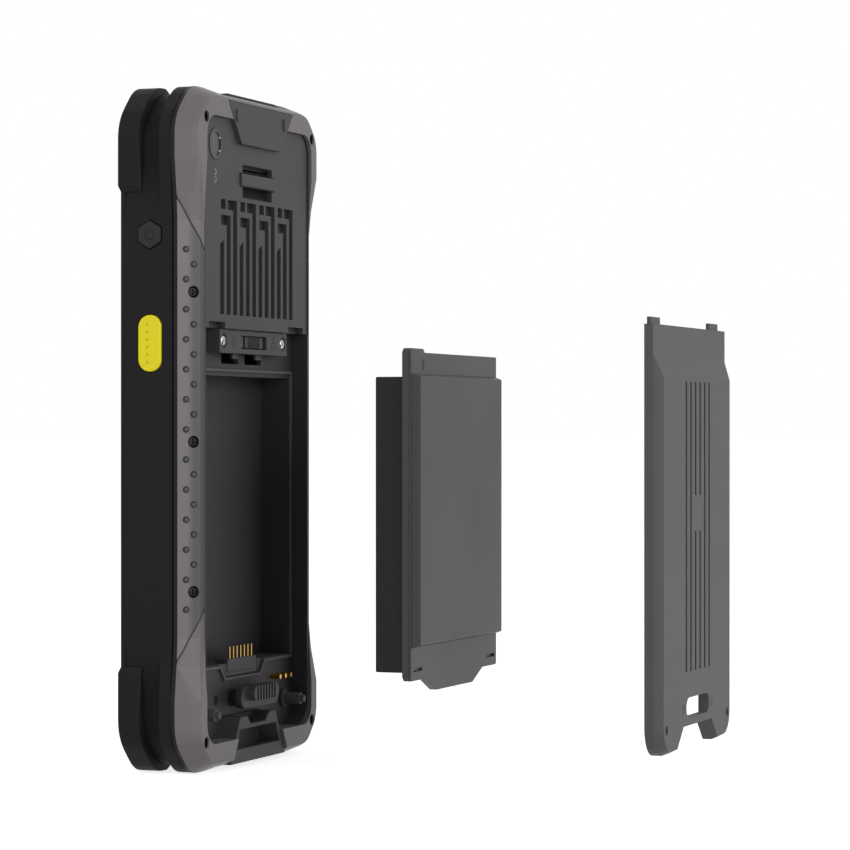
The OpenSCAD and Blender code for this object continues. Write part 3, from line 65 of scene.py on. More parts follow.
# Camera of the photograph: turned round the object, level, with a long lens.
CAMERA_AZIMUTH = 110.432
CAMERA_PLACE = (0.7324, 0.3266, 0.0825)
CAMERA_LENS = 135.53
CAMERA_SENSOR = 36
CAMERA_SHIFT_Y = 0.00765
CAMERA_CLIP = (0.01, 200)

# Lamps: name, place, the place they shine at, size in metres and power in watts.
LAMPS = (
    ("key", (0.62, 1.35, 0.42), (0, 0.05, 0.083), 0.8, 8.5),
    ("side", (1.4, -0.5, 0.8), (0, 0.0, 0.083), 1.0, 6),
    ("top", (-0.4, 1.0, 1.5), (0, 0.05, 0.083), 1.2, 4),
)

# The level at which the world lights the object; what is seen of it is white.
WORLD_LEVEL = 0.24

# Floor: half its size and its drop in metres, its grey, and the glow that is seen on it.
FLOOR_HALF = 40.0
FLOOR_DROP = 0.0002
FLOOR_GREY = 0.9
FLOOR_GLOW = 0.79


# Colours

def linear(code):
    """An sRGB colour such as "#4e4c4f" as linear red, green, blue and alpha."""
    parts = [int(code[k:k + 2], 16) / 255 for k in (1, 3, 5)]
    return [p / 12.92 if p <= 0.04045 else ((p + 0.055) / 1.055) ** 2.4 for p in parts] + [1.0]


def shade(colour, factor):
    """The colour made lighter or darker by a factor."""
    return [min(1.0, c * factor) for c in colour[:3]] + [1.0]


# Shader nodes

def new_material(name):
    """An empty node material and its Principled shader."""
    material = bpy.data.materials.new(name)
    material.use_nodes = True
    tree = material.node_tree
    return material, tree, tree.nodes["Principled BSDF"]


def add(tree, kind, **values):
    """A shader node with some of its settings and inputs set."""
    node = tree.nodes.new(kind)
    for key, value in values.items():
        if key in node.inputs:
            node.inputs[key].default_value = value
        else:
            setattr(node, key, value)
    return node


def math_node(tree, operation, *values):
    """The result of a math node on links and numbers."""
    node = add(tree, "ShaderNodeMath", operation=operation)
    for socket, value in zip(node.inputs, values):
        if isinstance(value, (int, float)):
            socket.default_value = value
        else:
            tree.links.new(value, socket)
    return node.outputs[0]


def noise(tree, place, scale, detail):
    """A noise in the row frame, whose scale is in waves per metre."""
    texture = add(tree, "ShaderNodeTexNoise", Scale=scale, Detail=detail)
    tree.links.new(place.outputs["Object"], texture.inputs["Vector"])
    return texture.outputs["Fac"]


def ramp(tree, source, low, high, first, last):
    """Two colours blended between two levels of a source."""
    blend = add(tree, "ShaderNodeValToRGB")
    blend.color_ramp.elements[0].position = low
    blend.color_ramp.elements[1].position = high
    blend.color_ramp.elements[0].color = first
    blend.color_ramp.elements[1].color = last
    tree.links.new(source, blend.inputs["Fac"])
    return blend.outputs["Color"]


def map_range(tree, source, **limits):
    """A source mapped from one range to another; both are 0 to 1 where nothing else is said."""
    node = add(tree, "ShaderNodeMapRange")
    for key, value in limits.items():
        node.inputs[key.replace("_", " ").title()].default_value = value
    tree.links.new(source, node.inputs["Value"])
    return node.outputs["Result"]


def raise_bump(tree, shader, source, strength, distance):
    """A bump of a shader that follows a source."""
    bump = add(tree, "ShaderNodeBump", Strength=strength, Distance=distance)
    tree.links.new(source, bump.inputs["Height"])
    tree.links.new(bump.outputs["Normal"], shader.inputs["Normal"])


# Materials

CLOUD_SCALE = 45.0
SCRATCH_SCALE = 900.0
GRAIN_HEIGHT = 0.0001
SCRATCH_HEIGHT = 0.00005


def moulded(name, code, rough=0.5, grain=2600.0, depth=0.12, cloud=0.05, specular=0.2):
    """Moulded plastic: fine spark-eroded grain, faint clouds of colour and handled, shinier places."""
    material, tree, shader = new_material(name)
    colour = linear(code)
    place = add(tree, "ShaderNodeTexCoord")
    clouds = noise(tree, place, CLOUD_SCALE, 4.0)
    fine = noise(tree, place, grain, 2.0)
    tint = ramp(tree, clouds, 0.3, 0.7, shade(colour, 1 - cloud), shade(colour, 1 + cloud))
    tree.links.new(tint, shader.inputs["Base Color"])
    half_fine = map_range(tree, fine, to_max=0.5)
    worn = math_node(tree, "MULTIPLY_ADD", clouds, 0.5, half_fine)
    gloss = map_range(tree, worn, to_min=rough - 0.1, to_max=rough + 0.1)
    tree.links.new(gloss, shader.inputs["Roughness"])
    raise_bump(tree, shader, fine, depth, GRAIN_HEIGHT)
    shader.inputs["Specular IOR Level"].default_value = specular
    return material


def perforated(name, code, hole_code, pitch):
    """Fine black sheet with close rows of round holes, at a pitch in millimetres."""
    material, tree, shader = new_material(name)
    place = add(tree, "ShaderNodeTexCoord")
    cells = add(tree, "ShaderNodeTexVoronoi", Scale=1 / (pitch * MM), Randomness=0.0)
    tree.links.new(place.outputs["Object"], cells.inputs["Vector"])
    tint = ramp(tree, cells.outputs["Distance"], 0.3, 0.36, linear(hole_code), linear(code))
    tree.links.new(tint, shader.inputs["Base Color"])
    raise_bump(tree, shader, tint, 0.5, GRAIN_HEIGHT)
    shader.inputs["Roughness"].default_value = 0.55
    shader.inputs["Specular IOR Level"].default_value = 0.2
    return material


def metal(name, code, rough):
    """Turned or rolled metal with fine scratches."""
    material, tree, shader = new_material(name)
    colour = linear(code)
    place = add(tree, "ShaderNodeTexCoord")
    lines = noise(tree, place, SCRATCH_SCALE, 5.0)
    tint = ramp(tree, lines, 0.35, 0.65, shade(colour, 0.88), shade(colour, 1.06))
    tree.links.new(tint, shader.inputs["Base Color"])
    gloss = map_range(tree, lines, to_min=rough - 0.08, to_max=rough + 0.12)
    tree.links.new(gloss, shader.inputs["Roughness"])
    raise_bump(tree, shader, lines, 0.08, SCRATCH_HEIGHT)
    shader.inputs["Metallic"].default_value = 1.0
    return material


GLASS = {"grain": 60.0, "depth": 0.0}
RUBBER_KEY = {"grain": 1800.0, "depth": 0.06, "cloud": 0.02}
PLASTICS = {
    "body_black": {"code": "#1f1e1f", "rough": 0.55, "specular": 0.1},
    # The band's own copy of body black, which takes the painted shade of its grooves.
    "band_black_groove_shade": {"code": "#1f1e1f", "rough": 0.55, "specular": 0.1},
    "housing_grey": {"code": "#383639", "rough": 0.55},
    "panel_grey": {"code": "#494749", "rough": 0.55},
    # Painted highlight: the cap and strip greys are the panel's plastic made lighter, for the light on
    # their chamfers, on top of their real sheen.
    "cap_grey": {"code": "#726d70", "rough": 0.42, "specular": 0.3},
    "strip_grey": {"code": "#767174", "rough": 0.42, "specular": 0.3},
    "cover_grey": {"code": "#575458", "rough": 0.55},
    "battery_grey": {"code": "#383639", "rough": 0.42, "specular": 0.3},
    "battery_black": {"code": "#171618", "rough": 0.55},
    "fitting_grey": {"code": "#3b393c"},
    "seal_grey": {"code": "#5a585b", "rough": 0.55},
    "module_black": {"code": "#131314"},
    "screw_black": {"code": "#0f0f10", "rough": 0.4},
    "board_green": {"code": "#1d5a3a", "rough": 0.4},
    "cell_film": {"code": "#31587c", "rough": 0.35},
    "key_black": {"code": "#272627"},
    "key_yellow": {"code": "#fff02c", **RUBBER_KEY},
    "key_dimple": {"code": "#e2c51e", **RUBBER_KEY},
    "screen_glass": {"code": "#07080a", "rough": 0.12, "specular": 0.5, **GLASS},
    "display_black": {"code": "#0a0b0e", "rough": 0.3, **GLASS},
    "camera_glass": {"code": "#454346", "rough": 0.35, "specular": 0.3, **GLASS},
    "scan_glass": {"code": "#3a0a10", "rough": 0.1, "specular": 0.5, **GLASS},
    "lens_dark": {"code": "#2b292c", "rough": 0.2, "specular": 0.4, **GLASS},
    "lamp_lens": {"code": "#5d5b5e", "rough": 0.3, "grain": 900.0, "depth": 0.1},
    "mark_dark": {"code": "#161517", "rough": 0.6},
    "mark_grey": {"code": "#333134", "rough": 0.6},
    # Painted highlight grey, for the lit side of the lamp rims.
    "highlight_grey": {"code": "#a5a2a5", "rough": 0.4},
    # Painted highlight white, for the glints in the camera ring.
    "glint_white": {"code": "#e8e8e8", "rough": 0.3},
}
METALS = {
    "contact_gold": {"code": "#c79a45", "rough": 0.25},
    "spring_steel": {"code": "#8c8b8e", "rough": 0.3},
    "screw_steel": {"code": "#b9b9bc", "rough": 0.25},
    "port_steel": {"code": "#9c9ca0", "rough": 0.3},
}
MATERIALS = {name: moulded(name, **finish) for name, finish in PLASTICS.items()}
MATERIALS.update({name: metal(name, **finish) for name, finish in METALS.items()})
MATERIALS["mesh_steel"] = perforated("mesh_steel", "#201f21", "#070708", 0.7)

# Where the painted shade masks are 0 and where they are 1, in millimetres: the groove's height from
# the middle and its depth, and the distance from the middle plane under the strips and at the strips'
# inner edge.
GROOVE_ENDS = (52, 64)
GROOVE_FLOOR = (0.8, 0.2)
UNDER_STRIPS = (32.2, 32.5)
STRIP_INNER_EDGE = (36.2, 35.0)

# Sockets of a colour mix node, whose names repeat for every data type.
MIX_FACTOR, MIX_FIRST, MIX_SECOND, MIX_RESULT = 0, 6, 7, 2


def axis_place(tree, axis):
    """The place along an axis of the row frame, in metres."""
    split = add(tree, "ShaderNodeSeparateXYZ")
    tree.links.new(add(tree, "ShaderNodeTexCoord").outputs["Object"], split.inputs[0])
    return split.outputs[axis]


def fade(tree, source, limits):
    """A mask that is 0 at the first of two limits in millimetres and 1 at the second."""
    return map_range(tree, source, from_min=limits[0] * MM, from_max=limits[1] * MM)


def groove_shade_mask(tree):
    """1 on the floor of the grooves between the corner bumpers, fading in from the side wall, for the
    painted shade there.
    """
    above = math_node(tree, "SUBTRACT", axis_place(tree, "Z"), MIDDLE * MM)
    ends = fade(tree, math_node(tree, "ABSOLUTE", above), GROOVE_ENDS)
    floor = fade(tree, axis_place(tree, "Y"), GROOVE_FLOOR)
    return math_node(tree, "MULTIPLY", ends, floor)


def under_strip_shade_mask(tree):
    """1 beside the bay, where the housing lies under the strips and caps, for the painted shade in the
    joints there.
    """
    return fade(tree, math_node(tree, "ABSOLUTE", axis_place(tree, "X")), UNDER_STRIPS)


def inner_edge_shade_mask(tree):
    """1 on the strips' edge beside the bay, fading out towards the rows of dots, for the painted shade
    where the rounded edge turns from the light.
    """
    return fade(tree, math_node(tree, "ABSOLUTE", axis_place(tree, "X")), STRIP_INNER_EDGE)


def paint_shade(name, code, mask):
    """Paints shade: blends a material's colour to a darker one where a mask of the row frame's places
    is 1.
    """
    tree = MATERIALS[name].node_tree
    colour = tree.nodes["Principled BSDF"].inputs["Base Color"]
    tint = colour.links[0].from_socket
    mix = add(tree, "ShaderNodeMix", data_type="RGBA")
    tree.links.new(mask(tree), mix.inputs[MIX_FACTOR])
    tree.links.new(tint, mix.inputs[MIX_FIRST])
    mix.inputs[MIX_SECOND].default_value = linear(code)
    tree.links.new(mix.outputs[MIX_RESULT], colour)


# Painted shade: the floor of the grooves between the corner bumpers is darkened.
paint_shade("band_black_groove_shade", "#0d0c0d", groove_shade_mask)
# Painted shade: the housing under the strips and caps is darkened, so the joints there show black.
paint_shade("housing_grey", "#0a0a0b", under_strip_shade_mask)
# Painted shade on the rounded inner edge of the strips.
paint_shade("strip_grey", "#555356", inner_edge_shade_mask)


# CAD nodes: a material for each slot, and small rounded edges in millimetres

SLOTS = {part["node"]: part["material_slot"] for part in frame["record"]["subparts"]}
EDGES = {
    "front_housing": 0.3, "mid_frame": 0.25, "rear_housing": 0.2, "rear_panel": 0.15,
    "grip_strip_right": 0.25, "grip_strip_left": 0.25, "upper_cap": 0.35,
    "lower_cap_right": 0.35, "lower_cap_left": 0.35, "scanner_cap": 0.25, "strap_bar": 0.25,
    "strap_anchor": 0.3, "latch_plate": 0.12, "battery_latch": 0.12, "cover_latch": 0.25,
    "guide_posts": 0.2, "power_key": 0.25, "scan_key_right": 0.5, "scan_key_left": 0.5,
    "volume_key": 0.4, "battery_case": 0.4, "battery_lid": 0.5, "cover_shell": 0.3,
    "contact_block": 0.15, "bay_seal": 0.12,
}
WELD_DISTANCE = 0.002
FLAT_ANGLE = 0.6
EDGE_ANGLE = 32
SHARP_ANGLE = 35


def slot_of(node):
    """The record's material slot of a CAD node."""
    return SLOTS[node]


def soften(node, width):
    """Small rounded edges on a CAD node, which stays inside its own size."""
    obj = nodes[node]
    weld = obj.modifiers.new("weld", "WELD")
    weld.merge_threshold = WELD_DISTANCE * MM
    flat = obj.modifiers.new("flat", "DECIMATE")
    flat.decimate_type = "DISSOLVE"
    flat.angle_limit = math.radians(FLAT_ANGLE)
    bevel = obj.modifiers.new("bevel", "BEVEL")
    bevel.width = width * MM
    bevel.segments = 2
    bevel.limit_method = "ANGLE"
    bevel.angle_limit = math.radians(EDGE_ANGLE)
    bevel.use_clamp_overlap = True
    bevel.harden_normals = True


for name, obj in nodes.items():
    obj.data.materials.clear()
    obj.data.materials.append(MATERIALS[slot_of(name)])
# The side band shares its slot with other black pieces, and has painted shade in its grooves.
nodes["mid_frame"].data.materials[0] = MATERIALS["band_black_groove_shade"]

for node, width in EDGES.items():
    soften(node, width)


# Detail pieces, drawn on a face: x to the right, y up, z out of the face

def in_mm(box):
    """The low corner, the high corner and the middle of a box, in millimetres."""
    low, high = (Vector(corner) / MM for corner in box)
    return low, high, (low + high) / 2


def on_face(x, y, z, normal):
    """The matrix of a face at a place in millimetres, seen from outside with Z up."""
    out = Vector(normal).normalized()
    right = Vector((0, 0, 1)).cross(out)
    matrix = Matrix((right, out.cross(right), out)).transposed().to_4x4()
    matrix.translation = Vector((x, y, z)) * MM
    return matrix


def piece(name, bm, matrix, body, material):
    """A finished piece that rides on a body and has the given material."""
    bmesh.ops.recalc_face_normals(bm, faces=bm.faces)
    bmesh.ops.scale(bm, vec=(MM, MM, MM), verts=bm.verts)
    mesh = bpy.data.meshes.new(name)
    bm.to_mesh(mesh)
    bm.free()
    for face in mesh.polygons:
        face.use_smooth = True
    mesh.set_sharp_from_angle(angle=math.radians(SHARP_ANGLE))
    mesh.materials.append(MATERIALS[material])
    obj = bpy.data.objects.new(name, mesh)
    SCENE.collection.objects.link(obj)
    obj.matrix_world = matrix
    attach(obj, body)
    return obj


def join(whole, part, matrix):
    """Adds a part to a larger shape at a matrix, and frees it."""
    mesh = bpy.data.meshes.new("part")
    part.to_mesh(mesh)
    part.free()
    local = matrix.copy()
    local.translation = matrix.translation / MM
    mesh.transform(local)
    whole.from_mesh(mesh)
    bpy.data.meshes.remove(mesh)


def polar(radius, degrees, centre=(0, 0)):
    """The point at a radius and an angle round a centre."""
    turn = math.radians(degrees)
    return centre[0] + radius * math.cos(turn), centre[1] + radius * math.sin(turn)


def arc(radius, start, end, steps, centre=(0, 0)):
    """Points of an arc between two angles in degrees."""
    return [polar(radius, start + (end - start) * k / steps, centre) for k in range(steps + 1)]


def lathe(bm, profile, centre=(0, 0), sides=20):
    """A turned shape through (radius, height) points, round a centre on the face."""
    rings = []
    for radius, height in profile:
        count = 1 if radius == 0 else sides
        spots = [polar(radius, 360 * k / sides, centre) for k in range(count)]
        rings.append([bm.verts.new((x, y, height)) for x, y in spots])
    for low, high in zip(rings, rings[1:]):
        for k in range(sides):
            points = [low[k % len(low)], low[(k + 1) % len(low)],
                      high[(k + 1) % len(high)], high[k % len(high)]]
            unique = list(dict.fromkeys(points))
            if len(unique) > 2:
                bm.faces.new(unique)
    return rings


def stroke(bm, path, width, height, closed=False, base=-0.05):
    """A line with a rounded top, drawn on the face along a path."""
    section = ((-0.5, base), (-0.42, height * 0.7), (0, height), (0.42, height * 0.7), (0.5, base))
    spots = [Vector(point) for point in path]
    count = len(spots)
    rows = []
    for k, here in enumerate(spots):
        before = spots[k - 1] if closed or k > 0 else here
        after = spots[(k + 1) % count] if closed or k < count - 1 else here
        ways = [way.normalized() for way in (here - before, after - here) if way.length > 0]
        way = sum(ways, Vector((0, 0))).normalized()
        across = Vector((-way.y, way.x)) / max(0.5, way.dot(ways[0]))
        edge = [(here + across * width * share, rise) for share, rise in section]
        rows.append([bm.verts.new((spot.x, spot.y, rise)) for spot, rise in edge])
    pairs = list(zip(rows, rows[1:])) + ([(rows[-1], rows[0])] if closed else [])
    for first, last in pairs:
        for k in range(-1, len(section) - 1):
            bm.faces.new((first[k], first[k + 1], last[k + 1], last[k]))
    if not closed:
        bm.faces.new(rows[0])
        bm.faces.new(rows[-1][::-1])


# Signs and trim

MARK_WIDTH = 0.3
MARK_HEIGHT = 0.03
SYMBOL_HEIGHT = 0.04
DIMPLE = [(0.34, -0.05), (0.34, 0.01), (0.24, 0.035), (0, 0.045)]
DIMPLE_PITCH = 1.8
DIMPLES = 6
GLINT = [(0.24, -0.3), (0.24, -0.06), (0.15, -0.02), (0, 0)]

# Height of the printed arrow, which lies under the closed cover.
ARROW_HEIGHT = 0.008


def power_symbol():
    """An open ring with a bar, on the power key."""
    _, high, middle = in_mm(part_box("power_key"))
    bm = bmesh.new()
    stroke(bm, arc(1.15, 125, 415, 28), MARK_WIDTH, SYMBOL_HEIGHT)
    stroke(bm, [(0, 0.35), (0, 1.55)], MARK_WIDTH, SYMBOL_HEIGHT)
    matrix = on_face(high.x, middle.y, middle.z, (1, 0, 0))
    piece("power_symbol", bm, matrix, "power_key", "mark_dark")


def key_dimples():
    """A row of small dimples down each scan key."""
    for side, label in SIDES:
        low, high, middle = in_mm(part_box("scan_key_" + label))
        key = "scan_key_" + label
        face = high.x if side > 0 else low.x
        bm = bmesh.new()
        for k in range(DIMPLES):
            lathe(bm, DIMPLE, (0, DIMPLE_PITCH * (k - (DIMPLES - 1) / 2)))
        matrix = on_face(face, low.y * 0.57 + high.y * 0.43, middle.z, (side, 0, 0))
        piece("scan_dimples_" + label, bm, matrix, key, "key_dimple")


def camera_trim():
    """Ring round the camera glass, with the lens barrel and two painted glints in it."""
    _, high, middle = in_mm(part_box("camera_window"))
    matrix = on_face(middle.x, high.y, middle.z, BACKWARDS)
    ring, barrel, glints = bmesh.new(), bmesh.new(), bmesh.new()
    stroke(ring, arc(3.72, 0, 354, 60), 0.26, MARK_HEIGHT, closed=True)
    stroke(barrel, arc(2.75, 148, 212, 12), 0.16, -0.1, base=-0.3)
    stroke(barrel, arc(2.75, -32, 32, 12), 0.16, -0.1, base=-0.3)
    # Painted highlights: two light glints on the ring's chamfer.
    for turn in (-33, 33):
        lathe(glints, GLINT, polar(2.95, turn), 16)
    piece("camera_ring", ring, matrix, "terminal", "mark_grey")
    piece("camera_barrel", barrel, matrix, "terminal", "mark_grey")
    piece("camera_glints", glints, matrix, "terminal", "glint_white")


def lamp_trim():
    """Painted highlights on one side of the two lamps' rims, and their dark lenses."""
    low, high, middle = in_mm(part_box("flash_lamps"))
    half = (high.x - low.x) / 2
    rise = (high.z - low.z) / 2 - half
    lens = [(half * 0.62, -0.05), (half * 0.6, 0.02), (half * 0.35, 0.07), (0, 0.09)]
    rims, lenses = bmesh.new(), bmesh.new()
    for y in (-rise, rise):
        # Painted highlight: a light arc on the lit side of each rim.
        stroke(rims, arc(half - 0.06, -115, 115, 18, (0, y)), 0.2, 0.05)
        lathe(lenses, lens, (0, y), 24)
    matrix = on_face(middle.x, high.y, middle.z, BACKWARDS)
    piece("lamp_rim_highlights", rims, matrix, "terminal", "highlight_grey")
    piece("lamp_lenses", lenses, matrix, "terminal", "lens_dark")


def padlock(bm, x, size, opened):
    """A small padlock drawn in lines, shut or open, beside the middle of a face."""
    lift = 0.45 if opened else 0.0
    body = [(-1, -1.3), (1, -1.3), (1, 0.2), (-1, 0.2)]
    right_leg = (0.65, 0.5 + lift) if opened else (0.65, 0.2)
    bow = [(-0.65, 0.2)] + arc(0.65, 180, 0, 10, (0, 0.55 + lift)) + [right_leg]
    keyhole = [(0, -0.35), (0, -0.8)]
    for path, closed in ((body, True), (bow, False), (keyhole, False)):
        spots = [(x + px * size, py * size) for px, py in path]
        stroke(bm, spots, 0.16 * size, MARK_HEIGHT, closed)


def lock_signs():
    """Shut and open padlocks beside the two latches."""
    _, high, middle = in_mm(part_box("latch_plate"))
    bm = bmesh.new()
    padlock(bm, -12.2, 1.0, False)
    padlock(bm, 12.2, 1.0, True)
    matrix = on_face(0, high.y, middle.z, BACKWARDS)
    piece("battery_lock_signs", bm, matrix, "terminal", "mark_dark")
    low, high, _ = in_mm(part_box("cover_shell"))
    bm = bmesh.new()
    padlock(bm, -12.4, 0.8, False)
    padlock(bm, 12.4, 0.8, True)
    matrix = on_face(0, high.y, low.z + 9.9, BACKWARDS)
    piece("cover_lock_signs", bm, matrix, "back_cover", "mark_dark")


def battery_mark():
    """A small arrow on the battery tab that points into the bay."""
    _, high, _ = in_mm(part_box("battery_lid"))
    bm = bmesh.new()
    stroke(bm, [(-0.55, 1.2), (0.55, 1.2), (0, -1.2)], MARK_WIDTH, ARROW_HEIGHT, closed=True)
    matrix = on_face(27.2, high.y, high.z - 4.0, BACKWARDS)
    piece("battery_arrow", bm, matrix, "battery", "mark_dark")


# Side strips: the flat part of the chamfer, with its two rows of dots and the row of screws

CHAMFER_IN = 3.12
CHAMFER_OUT = 3.082
CHAMFER_LOW = 4.9
DOT_PITCH = 7.1775
OUTER_ROW = 0.5
INNER_ROW = 0.95
DOT_SHAPES = (
    # The dark rings are painted shade of a groove round each dot.
    ("rings", [(0.8, 0), (0.8, 0.16), (0.74, 0.27), (0.52, 0.28), (0.44, 0.26)], "mark_grey"),
    ("crowns", [(0.45, 0.2), (0.45, 0.3), (0.3, 0.36), (0, 0.38)], "strip_grey"),
)


def on_strip(side, share, steps, lift=0.0):
    """The face of a side strip at a share of its width, some dot steps from the middle."""
    return on_face(side * (HALF_W - CHAMFER_IN * share), CHAMFER_LOW + CHAMFER_OUT * share,
                   MIDDLE + DOT_PITCH * steps + lift, (side, 1, 0))


def strip_dots():
    """A dark ring of painted shade round the foot of every dot of the side strips, and a light crown
    on it.
    """
    spots = [(OUTER_ROW, k) for k in range(-6, 7)]
    # Every fifth place of the inner row holds a screw.
    spots += [(INNER_ROW, k + 0.5) for k in range(-5, 6) if (k + 6) % 5 > 0]
    for side, label in SIDES:
        whole_matrix = on_strip(side, OUTER_ROW, 0)
        for kind, profile, material in DOT_SHAPES:
            whole = bmesh.new()
            for share, steps in spots:
                part = bmesh.new()
                lathe(part, profile)
                join(whole, part, whole_matrix.inverted() @ on_strip(side, share, steps))
            piece("dot_%s_%s" % (kind, label), whole, whole_matrix, "terminal",
                  material)


# Screws

HEAD_SIDES = 36
HEAD_PROFILE = ((1, -0.42), (0.93, -0.2), (0.78, -0.06), (0.6, 0))
RECESS_DEPTH = 0.6
RECESS_TAPER = 0.75
CORNER_RADIUS = 1.3
# Profile of the dark sleeves, which are painted shade inside the corner screw holes.
HOLE_SHADE_SLEEVE = [(1.36, 0.1), (1.36, 3.5), (1.44, 3.5), (1.44, 0.1), (1.36, 0.1)]
STRIP_SCREW_STEPS = (-5.5, -0.5, 4.5)


def screw_head(bm, radius, depth):
    """A screw head with a rounded edge and a cross recess; its top is at height 0."""
    profile = [(radius * 0.6, -depth), (radius, -depth)]
    profile += [(radius * out, radius * up) for out, up in HEAD_PROFILE]
    rings = lathe(bm, profile, sides=HEAD_SIDES)
    arm, half = radius * 0.5, radius * 0.13
    cross = [(arm, half), (half, half), (half, arm), (-half, arm), (-half, half), (-arm, half),
             (-arm, -half), (-half, -half), (-half, -arm), (half, -arm), (half, -half), (arm, -half)]
    top = [bm.verts.new((x, y, 0)) for x, y in cross]
    floor = [bm.verts.new((x * RECESS_TAPER, y * RECESS_TAPER, -RECESS_DEPTH)) for x, y in cross]

    def loop_edges(loop):
        pairs = [(loop[k - 1], loop[k]) for k in range(len(loop))]
        return [bm.edges.get(pair) or bm.edges.new(pair) for pair in pairs]

    bmesh.ops.triangle_fill(bm, edges=loop_edges(top) + loop_edges(rings[-1]), use_beauty=True)
    for k in range(len(cross)):
        bm.faces.new((top[k - 1], top[k], floor[k], floor[k - 1]))
    bmesh.ops.triangle_fill(bm, edges=loop_edges(floor), use_beauty=True)
    bmesh.ops.triangle_fill(bm, edges=loop_edges(rings[0]))


def screws(node, places, radius, depth, material, shank=None):
    """Detailed screws at the given faces, in place of a node of plain ones.

    A shank is its radius and its length below the head; without one, the head is all that shows.
    """
    whole = bmesh.new()
    for matrix in places:
        part = bmesh.new()
        screw_head(part, radius, depth)
        if shank:
            thick, end = shank[0], -depth - shank[1]
            lathe(part, [(0, end), (thick, end + 0.2), (thick, -depth)])
        join(whole, part, matrix)
    obj = piece(node + "_dressed", whole, Matrix.Identity(4), "terminal", material)
    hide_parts(node)


def corners(low, high, inset):
    """The four (x, z) places at an inset from the corners of a box."""
    return [(x, z) for x in (low.x + inset, high.x - inset) for z in (low.z + inset, high.z - inset)]


def hole_shade_sleeves():
    """Dark sleeves lining the four corner screw holes: painted shade in the holes."""
    low, high, _ = in_mm(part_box("corner_screws"))
    bm = bmesh.new()
    for x, z in corners(low, high, CORNER_RADIUS):
        lathe(bm, HOLE_SHADE_SLEEVE, (-x, z), 28)
    bmesh.ops.remove_doubles(bm, verts=bm.verts, dist=0.001)
    matrix = on_face(0, high.y, 0, BACKWARDS)
    piece("hole_shade_sleeves", bm, matrix, "terminal", "mark_dark")


def all_screws():
    """The two latch plate screws, the four corner screws and the six strip screws."""
    low, high, middle = in_mm(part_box("latch_screws"))
    radius, depth = (high.z - low.z) / 2, 1.0
    places = [on_face(x, high.y, middle.z, BACKWARDS) for x in (low.x + radius, high.x - radius)]
    screws("latch_screws", places, radius, depth, "screw_steel", (0.7, high.y - low.y - depth))

    low, high, _ = in_mm(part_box("corner_screws"))
    depth = 1.2
    places = [on_face(x, high.y, z, BACKWARDS) for x, z in corners(low, high, CORNER_RADIUS)]
    screws("corner_screws", places, CORNER_RADIUS, depth, "screw_black",
           (0.9, high.y - low.y - depth))

    places = []
    for side, _ in SIDES:
        sink = Vector((side, 1, 0)).normalized() * 0.7 * MM
        for steps in STRIP_SCREW_STEPS:
            matrix = on_strip(side, INNER_ROW, steps, 0.6)
            matrix.translation -= sink
            places.append(matrix)
    screws("strip_screws", places, 1.45, 1.2, "screw_black")


power_symbol()
key_dimples()
camera_trim()
lamp_trim()
lock_signs()
battery_mark()
strip_dots()
hole_shade_sleeves()
all_screws()


# Light, floor and camera

def area_light(name, place, target, size, power):
    """A soft square lamp at a place that shines towards a target."""
    data = bpy.data.lights.new(name, "AREA")
    data.size = size
    data.energy = power
    obj = bpy.data.objects.new(name, data)
    SCENE.collection.objects.link(obj)
    obj.location = place
    direction = Vector(target) - Vector(place)
    obj.rotation_mode = "QUATERNION"
    obj.rotation_quaternion = direction.to_track_quat("-Z", "Y")


def white_to_camera(tree, lit):
    """1 for what the camera, glossy and clear surfaces see, and the given level for light."""
    path = add(tree, "ShaderNodeLightPath").outputs
    seen = math_node(tree, "MAXIMUM", path["Is Camera Ray"], path["Is Glossy Ray"])
    seen = math_node(tree, "MAXIMUM", seen, path["Is Transmission Ray"])
    return map_range(tree, seen, to_min=lit)


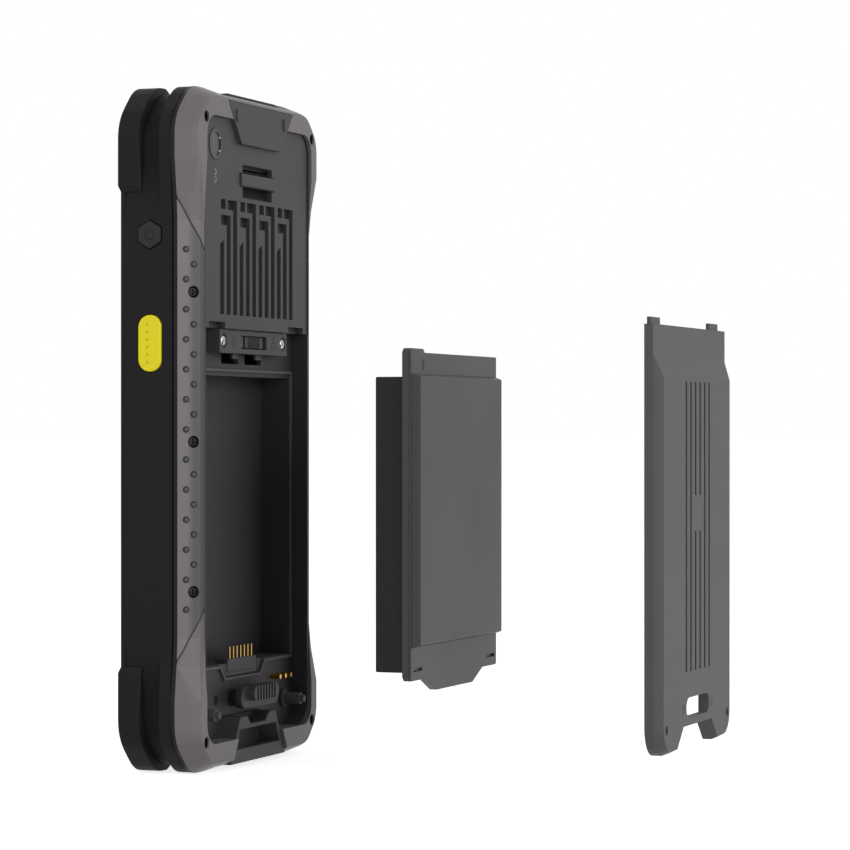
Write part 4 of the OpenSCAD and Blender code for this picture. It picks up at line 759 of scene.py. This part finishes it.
def make_world():
    """An even white world, which lights the object at a low level."""
    world = bpy.data.worlds.new("studio")
    SCENE.world = world
    world.use_nodes = True
    tree = world.node_tree
    back = tree.nodes["Background"]
    back.inputs["Color"].default_value = (1, 1, 1, 1)
    tree.links.new(white_to_camera(tree, WORLD_LEVEL), back.inputs["Strength"])


def make_floor():
    """A pale floor that glows where it is seen, lights nothing and keeps the object's shadow."""
    half = FLOOR_HALF
    corner_places = [(-half, -half, 0), (half, -half, 0), (half, half, 0), (-half, half, 0)]
    mesh = bpy.data.meshes.new("floor")
    mesh.from_pydata(corner_places, [], [(0, 1, 2, 3)])
    floor = bpy.data.objects.new("floor", mesh)
    SCENE.collection.objects.link(floor)
    floor.location.z = -FLOOR_DROP
    material = bpy.data.materials.new("floor")
    material.use_nodes = True
    tree = material.node_tree
    tree.nodes.clear()
    out = add(tree, "ShaderNodeOutputMaterial")
    matt = add(tree, "ShaderNodeBsdfDiffuse", Color=(FLOOR_GREY, FLOOR_GREY, FLOOR_GREY, 1))
    shine = add(tree, "ShaderNodeEmission")
    both = add(tree, "ShaderNodeAddShader")
    glow = math_node(tree, "MULTIPLY", white_to_camera(tree, 0.0), FLOOR_GLOW)
    tree.links.new(glow, shine.inputs["Strength"])
    tree.links.new(matt.outputs[0], both.inputs[0])
    tree.links.new(shine.outputs[0], both.inputs[1])
    tree.links.new(both.outputs[0], out.inputs["Surface"])
    mesh.materials.append(material)


def make_camera():
    """The camera of the photograph."""
    data = bpy.data.cameras.new("camera")
    data.sensor_width = CAMERA_SENSOR
    data.lens = CAMERA_LENS
    data.shift_y = CAMERA_SHIFT_Y
    data.clip_start, data.clip_end = CAMERA_CLIP
    camera = bpy.data.objects.new("camera", data)
    SCENE.collection.objects.link(camera)
    camera.location = CAMERA_PLACE
    camera.rotation_euler = (math.radians(90), 0, math.radians(CAMERA_AZIMUTH))
    SCENE.camera = camera


make_world()
make_floor()
for lamp in LAMPS:
    area_light(*lamp)
make_camera()
SCENE.view_settings.view_transform = "Standard"
